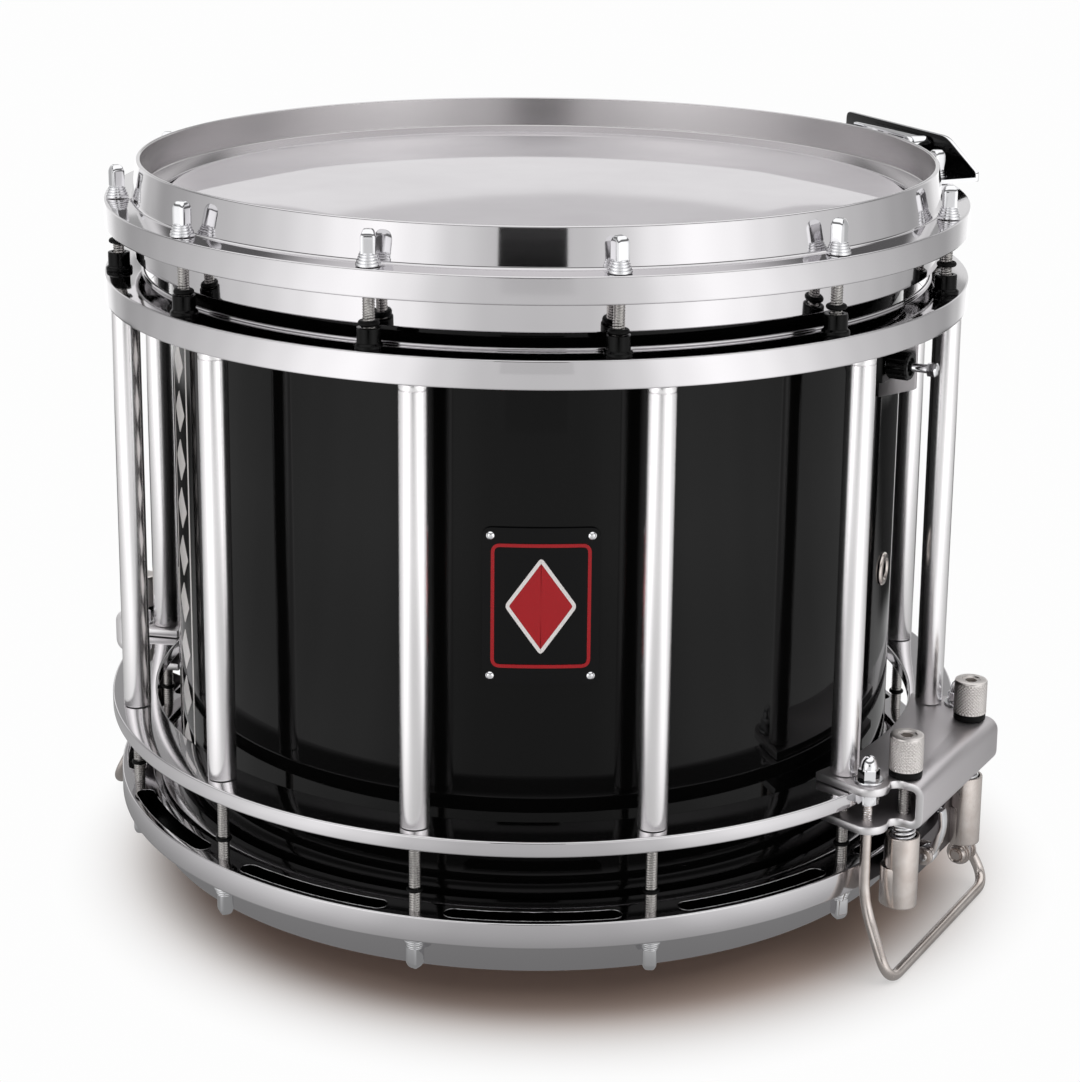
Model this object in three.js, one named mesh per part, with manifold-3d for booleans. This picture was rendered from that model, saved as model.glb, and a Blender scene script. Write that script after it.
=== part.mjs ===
// Marching snare drum in millimetres, +Z up. The drum's axis is x = y = 0 and the floor is z = 0.
// Angles run round the axis from the badge side, -Y, towards +X.
import * as THREE from 'three';
import { mergeVertices } from 'three/addons/utils/BufferGeometryUtils.js';
import Module from 'manifold-3d';

const wasm = await Module();
wasm.setup();

// Drum
const drumDepth = 330; // rim edge to rim edge
const rimAboveFloor = 20;
const shellRadius = 175;
const shellWall = 6;
const edgeBevel = 2.2;
const edgeCrest = 2.5;
const seat = 0.3; // gap between pieces that sit against each other
const overrun = 5; // how far a cutting tool runs past the wall it cuts
const weld = 0.001;
const roundSides = 48;
const curveSegments = 4;

// Heads, measured down from the rim edge
const headDrop = 16.5;
const filmThickness = 0.6;
const collarGap = 2.9;
const fleshWidth = 7.6;
const fleshHeight = 7.7;
const fleshPlay = 1.5;

// Counter hoops: the top one has a skirt under its flange, the bottom one pockets in it
const rimWall = 2;
const wallFlare = 2.5;
const flangeWidth = 12.7;
const flangeHeight = 12;
const flangeBelowHead = 1.3;
const skirtLength = 14.2;
const pocketHalfWidth = 4.4;
const pocketHalfAngle = 10;
const pocketDepth = 8;
const lipAboveHead = 1.2;
const lipWidth = 8;
const lipSlope = 3.2;
const lipThickness = 2;

// Frame of two rings and twelve tubes
const postCount = 12;
const ringShellGap = 11;
const upperRingGap = 8.2; // below the top skirt
const upperRingHeight = 12.6;
const upperRingOverhang = 0.7;
const lowerRingGap = 32; // above the bottom flange
const lowerRingHeight = 7.2;
const lowerRingOverhang = 3.4;
const tubeInset = 7.3;
const tubeRadius = 6.5;
const tubeWall = 1.5;
const tubeSides = 12;
const firstTubeAngle = 15;

// Tension bolts
const firstBoltAngle = 9.5;
const rodRadius = 2.7;
const rodGap = 0.6;
const rodSides = 8;
const washerRadius = 5.3;
const washerHeight = 2;
const washerRelief = 1.2; // from washer to hoop wall
const collarRadius = 4.4;
const collarHeight = 4;
const keyWidth = 6.3;
const keyHeight = 7.5;
const keyTopWidth = 4.4;
const keyTopHeight = 2;
const receiverWall = 1.2;
const receiverHeight = 9;
const rodBite = 9; // how far a top rod reaches into the ring
const rodInTube = 14; // how far a bottom rod reaches into its tube

// Side brackets, in a frame with t along the drum's side and r outwards
const bracketAngle = 60;
const sheet = 4;
const channelHeight = 22;
const channelOverhang = 19.4;
const channelInset = 3.5; // the channel ends short of the tubes
const channelBend = 6;
const channelOverlap = 2;
const bracketInset = 1.5;
const bracketTubeMargin = 6;
const earPastTube = 4;
const earSetback = 23.5;
const earRadius = 9.5;
const earEndAngle = 118;
const waistInset = 2;
const waistSetback = 12.5;
const braceThickness = 2.8;
const braceLegGap = 1.5; // clear of the vertical leg
const braceInside = 3.5;
const braceOutside = 8.5;
const braceFootRadius = 5;
const braceFootDrop = 15;
const braceStudRadius = 2.4;

// Foot wires
const wireRadius = 2.5;
const wireSides = 8;
const wireGap = 0.5;
const wireKneeHeight = 36;
const wireSplayAcross = 7;
const wireSplayReach = 16.5;
const wireBend = 12;
const wireBendSteps = 4;
const wireTop = 9; // thread standing above the bracket for its nut

// Snare height knobs and carriages
const knobInset = 7.5;
const knobSetback = 12;
const knobRadius = 7.75;
const knobHeight = 16.5;
const knobChamfer = 0.8;
const knobCollar = 3; // rubber ring between knob and bracket
const knobCollarInset = 1.15;
const knobSides = 16;
const screwRadius = 3;
const screwGap = 0.6;
const springSpace = 6.3; // from bracket to barrel
const barrelHeight = 34;
const barrelWall = 4.15;
const screwEngagement = 21;
const barClearance = 1.8; // from hoop flange to carriage
const barThickness = 5;
const barDrop = 5;
const barWaistHalf = 14; // the bar is lower in the middle
const barWaistRise = 17;
const linkHalfWidth = 6;

// Snare release lever on the right carriage
const leverAcross = -10;
const leverWidth = 5;
const leverPinRise = 13;
const leverPinRadius = 1.8;
const leverBoreGap = 0.4;
const leverEyeWall = 2;
const leverEyeGap = 0.8;
const leverHeadroom = 4.3; // from lever tip to bracket
const leverLean = 7;
const leverElbowLean = 7.5;
const leverElbowRise = 13;
const leverThickness = 2.6;
const lugThickness = 2.5;
const lugWall = 2.2;

// Snares
const snareWidth = 40;
const snareStrands = 10;
const strandRadius = 0.8;
const strandSides = 6;
const snareHeadGap = 1.5;
const snareClampLength = 6.2;
const snareClampWall = 1.4;
const gateClearance = 2;
const gatePlay = 1;

// Top snare strainer
const strainerAngle = bracketAngle;
const strainerPlateThickness = 2.5;
const strainerPlateGap = 0.5; // from housing to plate
const strainerPlateWidth = 17.7;
const strainerPlateBelow = 18;
const strainerPlateAbove = 13;
const strainerPlateSlant = 6;
const strainerRingGap = 2.2; // from plate to upper ring
const strainerGap = 0.5;
const housingHalfWidth = 6;
const housingHalfHeight = 8;
const housingDepth = 6.7;
const strainerShaftRadius = 3;
const strainerAxleRadius = 2;
const strainerAxleLength = 24;
const strainerTipRadius = 3.4;
const strainerTipLength = 4;
const strainerKnobRadius = 6.4;
const strainerKnobLength = 10;
const strainerKnobGap = 1.2;
const strainerArmHalfWidth = 4;
const topSnareInset = 4;
const topSnareClamp = 5;
const topSnareHeadGap = 1.8;

// Vent hole
const ventAngle = 69;
const ventAboveRing = 75;
const ventRadius = 5;

// Carrier bracket on the top hoop and its latch
const carrierAngle = 114.5;
const carrierOverhang = 4.8;
const carrierSheet = 2;
const carrierRise = 1;
const carrierNearMargin = 10.75; // past the bolt at each end
const carrierFarMargin = 8.75;
const carrierSlope = 27.5;
const carrierEndHeight = 4.5;
const latchHinge = -18;
const latchHingeHeight = 13;
const latchEyeWall = 2;
const latchPinRadius = 1.6;
const latchBoltGap = 15.25;
const latchThickness = 2.4;
const latchWidth = 8.5;
const latchWallGap = 1.5;
const latchLugThickness = 2.3;

// Radii, from the shell outwards
const shellInner = shellRadius - shellWall;
const fleshInner = shellRadius + collarGap;
const fleshOuter = fleshInner + fleshWidth;
const rimInner = fleshOuter + fleshPlay;
const rimRadius = rimInner + rimWall;
const wallFoot = rimRadius + wallFlare;
const flangeRadius = wallFoot + flangeWidth;
const boltCircleRadius = wallFoot + washerRelief + washerRadius;
const ringInnerRadius = shellRadius + ringShellGap;
const upperRingRadius = flangeRadius + upperRingOverhang;
const lowerRingRadius = flangeRadius + lowerRingOverhang;
const tubeCircleRadius = flangeRadius - tubeInset;
const boltHole = rodRadius + rodGap;

// Heights
const topRim = rimAboveFloor + drumDepth;
const bottomRim = rimAboveFloor;
const topHeadHeight = topRim - headDrop;
const bottomHeadHeight = bottomRim + headDrop;
const flangeDrop = headDrop + flangeBelowHead;
const flangeBottomDepth = flangeDrop + flangeHeight;
const skirtDepth = flangeBottomDepth + skirtLength;
const lipDrop = headDrop - lipAboveHead;
const lipBottomDepth = lipDrop + lipSlope + lipThickness;
const flangeTop = topRim - flangeDrop;
const bottomSeat = bottomRim + flangeDrop;
const upperRingTop = topRim - skirtDepth - upperRingGap;
const upperRingBottom = upperRingTop - upperRingHeight;
const lowerRingBottom = bottomRim + flangeBottomDepth + lowerRingGap;
const lowerRingTop = lowerRingBottom + lowerRingHeight;
const bracketSeat = lowerRingTop + seat;
const bracketTop = bracketSeat + sheet;
const bracketBottom = bracketTop - channelHeight;
const strainerHeight = upperRingBottom - strainerRingGap - strainerPlateAbove;

// Places round the drum and in the side frame
const radians = THREE.MathUtils.degToRad;
const postStep = 360 / postCount;
const tubeAcross = tubeCircleRadius * Math.sin(radians(postStep / 2));
const boltAcross = boltCircleRadius * Math.sin(radians(postStep / 2));
const channelReach = lowerRingRadius + channelOverhang;
const channelHalfLength = tubeAcross - channelInset;
const bracketInnerRadius = ringInnerRadius + bracketInset;
const earAcross = tubeAcross + earPastTube;
const earReach = channelReach - earSetback;
const knobAcross = channelHalfLength - knobInset;
const knobReach = channelReach - knobSetback;
const barrelRadius = screwRadius + screwGap + barrelWall;
const barrelTop = bracketBottom - springSpace;
const barrelBottom = barrelTop - barrelHeight;
const barInnerReach = flangeRadius + barClearance;
const barOuterReach = barInnerReach + barThickness;
const leverEyeRadius = leverPinRadius + leverBoreGap + leverEyeWall;
const leverPinReach = barOuterReach + leverEyeGap + leverEyeRadius;
const leverPinHeight = barrelBottom + leverPinRise;
const bottomStrands = bottomHeadHeight - snareHeadGap - strandRadius;
const topStrands = topHeadHeight - filmThickness - topSnareHeadGap - strandRadius;
const topSnareReach = shellInner - topSnareInset;
const housingReach = shellRadius + seat + housingDepth;
const carrierReach = flangeRadius + carrierOverhang;
const carrierInner = carrierReach - carrierSheet;
const latchOuterReach = carrierInner - latchWallGap;
const latchInnerReach = latchOuterReach - latchWidth;
const latchEyeRadius = latchPinRadius + leverBoreGap + latchEyeWall;

// Solids

function solid(geometry) {
  geometry.deleteAttribute('normal');
  geometry.deleteAttribute('uv');
  const merged = mergeVertices(geometry, weld);
  const index = merged.index.array;
  const kept = [];
  for (let i = 0; i < index.length; i += 3) {
    const [a, b, c] = index.slice(i, i + 3);
    if (a !== b && b !== c && c !== a) kept.push(a, b, c);
  }
  return new wasm.Manifold(new wasm.Mesh({
    numProp: 3,
    vertProperties: merged.attributes.position.array,
    triVerts: Uint32Array.from(kept),
  }));
}

// A profile of [radius, height] points, anticlockwise, turned round the vertical axis.
function turned(profile, sides) {
  const points = profile.map(([radius, height]) => new THREE.Vector2(radius, height));
  if (profile[0][0] > 0) points.push(points[0].clone());
  return solid(new THREE.LatheGeometry(points, sides).rotateX(Math.PI / 2));
}

function cylinder(radius, bottom, top, sides, topRadius = radius) {
  return turned([[0, bottom], [radius, bottom], [topRadius, top], [0, top]], sides);
}

function block(low, high) {
  const size = high.map((value, axis) => value - low[axis]);
  const middle = high.map((value, axis) => (value + low[axis]) / 2);
  return solid(new THREE.BoxGeometry(...size).translate(...middle));
}

// A block in the side frame: t along the drum's side, r outwards, which is local -Y.
function sideBlock(tLow, tHigh, rLow, rHigh, low, high) {
  return block([tLow, -rHigh, low], [tHigh, -rLow, high]);
}

function extruded(shape, depth) {
  return new THREE.ExtrudeGeometry(shape, { depth, bevelEnabled: false, curveSegments });
}

// A shape drawn in t and -r, laid flat from one height up.
function flatPlate(shape, bottom, thickness) {
  return solid(extruded(shape, thickness).translate(0, 0, bottom));
}

// A shape drawn in r and z, extruded along t.
function acrossSide(shape, start, length) {
  const basis = new THREE.Matrix4().makeBasis(
    new THREE.Vector3(0, -1, 0),
    new THREE.Vector3(0, 0, 1),
    new THREE.Vector3(-1, 0, 0),
  );
  const geometry = extruded(shape, length).applyMatrix4(basis);
  return solid(geometry.translate(start + length, 0, 0));
}

// A shape drawn in t and z, extruded outwards from one reach.
function outwards(shape, reach, length) {
  const basis = new THREE.Matrix4().makeBasis(
    new THREE.Vector3(1, 0, 0),
    new THREE.Vector3(0, 0, 1),
    new THREE.Vector3(0, -1, 0),
  );
  const geometry = extruded(shape, length).applyMatrix4(basis);
  return solid(geometry.translate(0, -reach, 0));
}

function union(solids) {
  return solids.reduce((joined, next) => joined.add(next));
}

function cut(body, tools) {
  return tools.reduce((left, tool) => left.subtract(tool), body);
}

// A pin along t or along r, at a place in the side frame.
function pinAcross(radius, tStart, tEnd, reach, height, sides) {
  return cylinder(radius, tStart, tEnd, sides).rotate([0, 90, 0]).translate([0, -reach, height]);
}

function pinOutwards(radius, rStart, rEnd, across, height, sides) {
  return cylinder(radius, rStart, rEnd, sides).rotate([90, 0, 0]).translate([across, 0, height]);
}

function aroundDrum(angle) {
  return [0, 0, angle];
}

// Places of a ring of twelve, as angles.
function posts(first) {
  return Array.from({ length: postCount }, (_, i) => first + i * postStep);
}

function onCircle(piece, radius, angle) {
  return piece.translate([0, -radius, 0]).rotate(aroundDrum(angle));
}

// Points [radius, depth below the rim edge] as a profile of the top or the bottom of the drum.
function rimProfile(points, side) {
  const rim = side > 0 ? topRim : bottomRim;
  const profile = points.map(([radius, depth]) => [radius, rim - side * depth]);
  return side > 0 ? profile : profile.reverse();
}

// Shell and heads

function shell() {
  const bottom = bottomHeadHeight + filmThickness + seat;
  const top = topHeadHeight - filmThickness - seat;
  const crest = shellRadius - edgeCrest;
  const body = turned([
    [shellInner, bottom + shellWall - edgeCrest],
    [crest, bottom],
    [shellRadius, bottom + edgeBevel],
    [shellRadius, top - edgeBevel],
    [crest, top],
    [shellInner, top - shellWall + edgeCrest],
  ], roundSides);
  const through = (radius, height) =>
    pinOutwards(radius, shellInner - overrun, shellRadius + overrun, 0, height, rodSides);
  const vent = through(ventRadius, lowerRingTop + ventAboveRing);
  const strainerHole = through(strainerShaftRadius + strainerGap, strainerHeight);
  return cut(body, [
    vent.rotate(aroundDrum(ventAngle)),
    strainerHole.rotate(aroundDrum(strainerAngle)),
  ]);
}

function head(side) {
  const fleshTop = lipBottomDepth + seat;
  const shoulder = shellRadius - edgeBevel / 2 + seat;
  const inside = headDrop + filmThickness;
  return turned(rimProfile([
    [0, inside],
    [shoulder - filmThickness / 2, inside],
    [fleshInner, fleshTop + filmThickness],
    [fleshInner, fleshTop + fleshHeight],
    [fleshOuter, fleshTop + fleshHeight],
    [fleshOuter, fleshTop],
    [fleshInner + filmThickness, fleshTop],
    [shoulder, headDrop],
    [0, headDrop],
  ], side), roundSides);
}

// Counter hoops

function hoop(side, firstHole, circleRadius) {
  const lipInner = rimInner - lipWidth;
  const skirt = [
    [rimRadius, skirtDepth],
    [rimRadius + rimWall, skirtDepth],
    [wallFoot, flangeBottomDepth],
  ];
  const body = turned(rimProfile([
    ...(side > 0 ? skirt : [[rimRadius, flangeBottomDepth]]),
    [flangeRadius, flangeBottomDepth],
    [flangeRadius, flangeDrop],
    [wallFoot, flangeDrop],
    [rimRadius, 0],
    [rimInner, 0],
    [rimInner, lipDrop],
    [lipInner, lipDrop + lipSlope],
    [lipInner + lipThickness / 2, lipBottomDepth],
    [rimRadius - rimWall / 4, lipBottomDepth],
  ], side), roundSides);
  const flangeFace = side > 0 ? flangeTop : bottomSeat;
  const reach = flangeHeight + overrun;
  const hole = cylinder(boltHole, flangeFace - reach, flangeFace + reach, rodSides);
  return cut(body, posts(firstHole).map((angle) => onCircle(hole, circleRadius, angle)));
}

function topHoop() {
  return hoop(1, firstBoltAngle, boltCircleRadius);
}

// A blind slot with round ends in the bottom flange, between two bolts.
function pocket() {
  const middle = -Math.PI / 2;
  const turn = radians(pocketHalfAngle);
  const low = middle - turn;
  const high = middle + turn;
  const slot = new THREE.Shape();
  const cap = (angle, start) => slot.absarc(
    tubeCircleRadius * Math.cos(angle), tubeCircleRadius * Math.sin(angle), pocketHalfWidth,
    start, start + Math.PI, false,
  );
  slot.absarc(0, 0, tubeCircleRadius + pocketHalfWidth, low, high, false);
  cap(high, high);
  slot.absarc(0, 0, tubeCircleRadius - pocketHalfWidth, high, low, true);
  cap(low, low + Math.PI);
  const face = bottomRim + flangeBottomDepth;
  return flatPlate(slot, face - pocketDepth, pocketDepth + overrun);
}

// The bottom hoop has a gate on each side for the snares.
function bottomHoop() {
  const half = snareWidth / 2 + gateClearance;
  const halfHeight = strandRadius + gatePlay;
  const gate = sideBlock(-half, half, rimInner - overrun, wallFoot + overrun,
    bottomStrands - halfHeight, bottomStrands + halfHeight);
  const opposite = bracketAngle + 180;
  const slot = pocket();
  return cut(hoop(-1, firstTubeAngle, tubeCircleRadius), [
    gate.rotate(aroundDrum(bracketAngle)),
    gate.rotate(aroundDrum(opposite)),
    ...posts(0).map((angle) => slot.rotate(aroundDrum(angle))),
  ]);
}

// Frame

function upperRing() {
  const ring = turned([
    [ringInnerRadius, upperRingBottom],
    [upperRingRadius, upperRingBottom],
    [upperRingRadius, upperRingTop],
    [ringInnerRadius, upperRingTop],
  ], roundSides);
  const top = upperRingTop + receiverHeight;
  const receiver = cylinder(boltHole + receiverWall, upperRingBottom + upperRingHeight / 2, top, rodSides);
  const hole = cylinder(boltHole, upperRingBottom - overrun, top + overrun, rodSides);
  const places = posts(firstBoltAngle);
  const receivers = places.map((angle) => onCircle(receiver, boltCircleRadius, angle));
  return cut(union([ring, ...receivers]), places.map((angle) => onCircle(hole, boltCircleRadius, angle)));
}

function lowerRing() {
  const ring = turned([
    [ringInnerRadius, lowerRingBottom],
    [lowerRingRadius, lowerRingBottom],
    [lowerRingRadius, lowerRingTop],
    [ringInnerRadius, lowerRingTop],
  ], roundSides);
  const hole = cylinder(boltHole, lowerRingBottom - overrun, lowerRingTop + overrun, rodSides);
  return cut(ring, posts(firstTubeAngle).map((angle) => onCircle(hole, tubeCircleRadius, angle)));
}

// A tube that stands on a bracket is shorter by the bracket's sheet.
function frameTube(onBracket) {
  const bottom = (onBracket ? bracketTop : lowerRingTop) + seat;
  const top = upperRingBottom - seat;
  const tubeBore = tubeRadius - tubeWall;
  return turned([
    [tubeBore, bottom],
    [tubeRadius, bottom],
    [tubeRadius, top],
    [tubeBore, top],
  ], tubeSides);
}

function isOnBracket(angle) {
  const fromBracket = Math.abs(THREE.MathUtils.euclideanModulo(angle - bracketAngle + 90, 180) - 90);
  return fromBracket <= postStep / 2;
}

// A tension bolt with its seat at z = 0: square key head, collar and washer above, rod below.
function tensionBolt(rodLength) {
  const collarTop = washerHeight + collarHeight;
  const keyTop = collarTop + keyHeight;
  const body = turned([
    [0, -rodLength],
    [rodRadius, -rodLength],
    [rodRadius, seat],
    [washerRadius, seat],
    [washerRadius, washerHeight],
    [collarRadius, washerHeight],
    [collarRadius, collarTop],
    [0, collarTop],
  ], rodSides);
  const corner = keyWidth / Math.SQRT2;
  const topCorner = keyTopWidth / Math.SQRT2;
  const key = turned([
    [0, washerHeight],
    [corner, washerHeight],
    [corner, keyTop],
    [topCorner, keyTop + keyTopHeight],
    [0, keyTop + keyTopHeight],
  ], 4);
  return body.add(key.rotate(aroundDrum(45)));
}

// Brackets

function bracketPlan() {
  const shape = new THREE.Shape();
  const innerAngle = Math.asin((tubeAcross + bracketTubeMargin) / bracketInnerRadius);
  const earEnd = radians(earEndAngle);
  const earEndAcross = earAcross + earRadius * Math.cos(earEnd);
  const earEndReach = earReach + earRadius * Math.sin(earEnd);
  const waistAcross = channelHalfLength - waistInset;
  const waistReach = channelReach - waistSetback;
  const bendReach = channelReach - channelBend;
  const neckReach = bendReach - channelOverlap;
  const start = -Math.PI / 2;
  shape.absarc(0, 0, bracketInnerRadius, start - innerAngle, start + innerAngle, false);
  shape.absarc(earAcross, -earReach, earRadius, 0, -earEnd, true);
  shape.quadraticCurveTo(waistAcross, -waistReach, channelHalfLength, -neckReach);
  shape.lineTo(channelHalfLength, -bendReach);
  shape.lineTo(-channelHalfLength, -bendReach);
  shape.lineTo(-channelHalfLength, -neckReach);
  shape.quadraticCurveTo(-waistAcross, -waistReach, -earEndAcross, -earEndReach);
  shape.absarc(-earAcross, -earReach, earRadius, -Math.PI + earEnd, -Math.PI, true);
  return shape;
}

function channelSection() {
  const shape = new THREE.Shape();
  const centre = channelReach - channelBend;
  const neckReach = centre - channelOverlap;
  const innerBend = channelBend - sheet;
  const quarter = Math.PI / 2;
  shape.moveTo(neckReach, bracketBottom);
  shape.absarc(centre, bracketBottom + channelBend, channelBend, -quarter, 0, false);
  shape.absarc(centre, bracketTop - channelBend, channelBend, 0, quarter, false);
  shape.lineTo(neckReach, bracketTop);
  shape.lineTo(neckReach, bracketTop - sheet);
  shape.absarc(centre, bracketTop - channelBend, innerBend, quarter, 0, true);
  shape.absarc(centre, bracketBottom + channelBend, innerBend, 0, -quarter, true);
  shape.lineTo(neckReach, bracketBottom + sheet);
  return shape;
}

// The brace hangs from the lower flange to hold the far leg of the foot wire.
function brace() {
  const shape = new THREE.Shape();
  const top = bracketBottom + sheet / 2;
  const footHeight = wireKneeHeight - braceFootDrop;
  const [legAcross, legReach] = wireLegAt(footHeight);
  const across = earAcross - wireRadius - braceLegGap - braceThickness;
  shape.moveTo(earReach + braceOutside, top);
  shape.lineTo(earReach - braceInside, top);
  shape.absarc(legReach, footHeight, braceFootRadius, Math.PI, 0, false);
  const studStart = across + braceThickness / 2;
  const studEnd = legAcross - wireRadius - wireGap;
  return acrossSide(shape, across, braceThickness)
    .add(pinAcross(braceStudRadius, studStart, studEnd, legReach, footHeight, rodSides));
}

function bracket() {
  const flanges = [bracketSeat, bracketBottom].map((bottom) => flatPlate(bracketPlan(), bottom, sheet));
  const channel = acrossSide(channelSection(), -channelHalfLength, channelHalfLength * 2);
  const through = (radius) => cylinder(radius, bracketBottom - overrun, bracketTop + overrun, rodSides);
  const tools = [];
  for (const end of [-1, 1]) {
    tools.push(through(screwRadius + screwGap).translate([end * knobAcross, -knobReach, 0]));
    tools.push(through(wireRadius + wireGap).translate([end * earAcross, -earReach, 0]));
    tools.push(onCircle(through(boltHole), tubeCircleRadius, end * postStep / 2));
  }
  return cut(union([...flanges, channel, brace()]), tools);
}

// Foot wires

// Where the splayed leg's centre line is at a height, as [t, r].
function wireLegAt(height) {
  const share = (wireKneeHeight - height) / (wireKneeHeight - wireRadius);
  return [earAcross + share * wireSplayAcross, earReach + share * wireSplayReach];
}

function wirePath() {
  const [cornerAcross, cornerReach] = wireLegAt(wireRadius);
  const corners = [
    [-earAcross, -earReach, bracketTop + wireTop],
    [-earAcross, -earReach, wireKneeHeight],
    [-cornerAcross, -cornerReach, wireRadius],
    [cornerAcross, -cornerReach, wireRadius],
    [earAcross, -earReach, wireKneeHeight],
    [earAcross, -earReach, bracketTop + wireTop],
  ].map((corner) => new THREE.Vector3(...corner));
  const points = [corners[0]];
  for (let i = 1; i < corners.length - 1; i++) {
    const before = corners[i - 1].clone().sub(corners[i]).setLength(wireBend).add(corners[i]);
    const after = corners[i + 1].clone().sub(corners[i]).setLength(wireBend).add(corners[i]);
    points.push(...new THREE.QuadraticBezierCurve3(before, corners[i], after).getPoints(wireBendSteps));
  }
  points.push(corners[corners.length - 1]);
  return points;
}

// A round rod through a list of points, each ring halfway between the directions on its two sides.
function rod(points, radius, sides, outward) {
  const position = [];
  const index = [];
  points.forEach((point, i) => {
    const before = points[Math.max(i - 1, 0)];
    const after = points[Math.min(i + 1, points.length - 1)];
    const incoming = (i ? point.clone().sub(before) : after.clone().sub(point)).normalize();
    const outgoing = (i < points.length - 1 ? after.clone().sub(point) : incoming.clone()).normalize();
    const along = incoming.add(outgoing).normalize();
    const up = outward.clone().addScaledVector(along, -outward.dot(along)).normalize();
    const side = new THREE.Vector3().crossVectors(up, along);
    for (let k = 0; k < sides; k++) {
      const angle = k / sides * 2 * Math.PI;
      const spoke = side.clone().multiplyScalar(Math.cos(angle)).addScaledVector(up, Math.sin(angle));
      position.push(...spoke.multiplyScalar(radius).add(point).toArray());
    }
  });
  for (let i = 0; i < points.length - 1; i++) {
    for (let k = 0; k < sides; k++) {
      const a = i * sides + k;
      const b = i * sides + (k + 1) % sides;
      index.push(a, b, b + sides, a, b + sides, a + sides);
    }
  }
  const last = (points.length - 1) * sides;
  for (let k = 1; k < sides - 1; k++) index.push(0, k + 1, k, last, last + k, last + k + 1);
  const geometry = new THREE.BufferGeometry();
  geometry.setAttribute('position', new THREE.Float32BufferAttribute(position, 3));
  geometry.setIndex(index);
  return solid(geometry);
}

function footWire() {
  return rod(wirePath(), wireRadius, wireSides, new THREE.Vector3(0, -1, 0));
}

// Snare height knobs and carriages

function heightKnob() {
  const bottom = bracketTop + seat;
  const grip = bottom + knobCollar;
  const top = grip + knobHeight;
  const collar = knobRadius - knobCollarInset;
  return turned([
    [0, barrelTop - screwEngagement],
    [screwRadius, barrelTop - screwEngagement],
    [screwRadius, bottom],
    [collar, bottom],
    [collar, grip],
    [knobRadius, grip],
    [knobRadius, top - knobChamfer],
    [knobRadius - knobChamfer, top],
    [0, top],
  ], knobSides);
}

function carriage(withLugs) {
  const barTop = barrelTop - barDrop;
  const barShoulder = knobAcross - linkHalfWidth;
  const barWaistTop = barrelBottom + barWaistRise;
  const bar = new THREE.Shape();
  bar.moveTo(-knobAcross, barrelBottom);
  bar.lineTo(knobAcross, barrelBottom);
  bar.lineTo(knobAcross, barTop);
  bar.lineTo(barShoulder, barTop);
  bar.lineTo(barWaistHalf, barWaistTop);
  bar.lineTo(-barWaistHalf, barWaistTop);
  bar.lineTo(-barShoulder, barTop);
  bar.lineTo(-knobAcross, barTop);
  const pieces = [outwards(bar, barInnerReach, barThickness)];
  const bores = [];
  for (const end of [-1, 1]) {
    const centre = end * knobAcross;
    const left = centre - linkHalfWidth;
    const right = centre + linkHalfWidth;
    const barrel = cylinder(barrelRadius, barrelBottom, barrelTop, knobSides);
    const bore = cylinder(screwRadius + screwGap, barrelBottom - overrun, barrelTop + overrun, rodSides);
    pieces.push(barrel.translate([centre, -knobReach, 0]));
    pieces.push(sideBlock(left, right, barInnerReach, knobReach, barrelBottom, barTop));
    bores.push(bore.translate([centre, -knobReach, 0]));
  }
  if (withLugs) pieces.push(...leverLugs());
  return cut(union(pieces), bores);
}

function leverLugs() {
  const gap = leverWidth / 2 + seat;
  const lugRadius = leverPinRadius + lugWall;
  const root = barOuterReach - barThickness / 2;
  const lug = new THREE.Shape();
  lug.moveTo(root, leverPinHeight + lugRadius);
  lug.lineTo(root, leverPinHeight - lugRadius);
  lug.absarc(leverPinReach, leverPinHeight, lugRadius, -Math.PI / 2, Math.PI / 2, false);
  const pinStart = leverAcross - gap - lugThickness / 2;
  const pinEnd = leverAcross + gap + lugThickness / 2;
  return [
    acrossSide(lug, leverAcross - gap - lugThickness, lugThickness),
    acrossSide(lug, leverAcross + gap, lugThickness),
    pinAcross(leverPinRadius, pinStart, pinEnd, leverPinReach, leverPinHeight, rodSides),
  ];
}

function releaseLever() {
  const start = leverAcross - leverWidth / 2;
  const end = leverAcross + leverWidth / 2;
  const tipReach = leverPinReach + leverLean;
  const tipHeight = bracketBottom - leverHeadroom;
  const elbowReach = leverPinReach + leverElbowLean;
  const elbowHeight = leverPinHeight + leverElbowRise;
  const arm = new THREE.Shape();
  arm.moveTo(leverPinReach, leverPinHeight);
  arm.lineTo(leverPinReach + leverThickness, leverPinHeight);
  arm.quadraticCurveTo(elbowReach + leverThickness, elbowHeight, tipReach, tipHeight);
  arm.lineTo(tipReach - leverThickness, tipHeight);
  arm.quadraticCurveTo(elbowReach, elbowHeight, leverPinReach, leverPinHeight);
  const eye = pinAcross(leverEyeRadius, start, end, leverPinReach, leverPinHeight, tubeSides);
  const bore = leverPinRadius + leverBoreGap;
  return cut(acrossSide(arm, start, leverWidth).add(eye), [
    pinAcross(bore, start - overrun, end + overrun, leverPinReach, leverPinHeight, tubeSides),
  ]);
}

// Snares

// Strands across the drum between two clamps, with the clamps' inner faces at one reach.
function snares(clampInner, clampOuter, middle, clampBottom, clampTop) {
  const half = snareWidth / 2;
  const pieces = [
    sideBlock(-half, half, clampInner, clampOuter, clampBottom, clampTop),
    sideBlock(-half, half, -clampOuter, -clampInner, clampBottom, clampTop),
  ];
  const grip = (clampOuter - clampInner) / 2;
  const strand = pinOutwards(strandRadius, -clampInner - grip, clampInner + grip, 0, middle, strandSides);
  const gap = (snareWidth - strandRadius * 4) / (snareStrands - 1);
  for (let i = 0; i < snareStrands; i++) {
    pieces.push(strand.translate([strandRadius * 2 - half + i * gap, 0, 0]));
  }
  return union(pieces);
}

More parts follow.
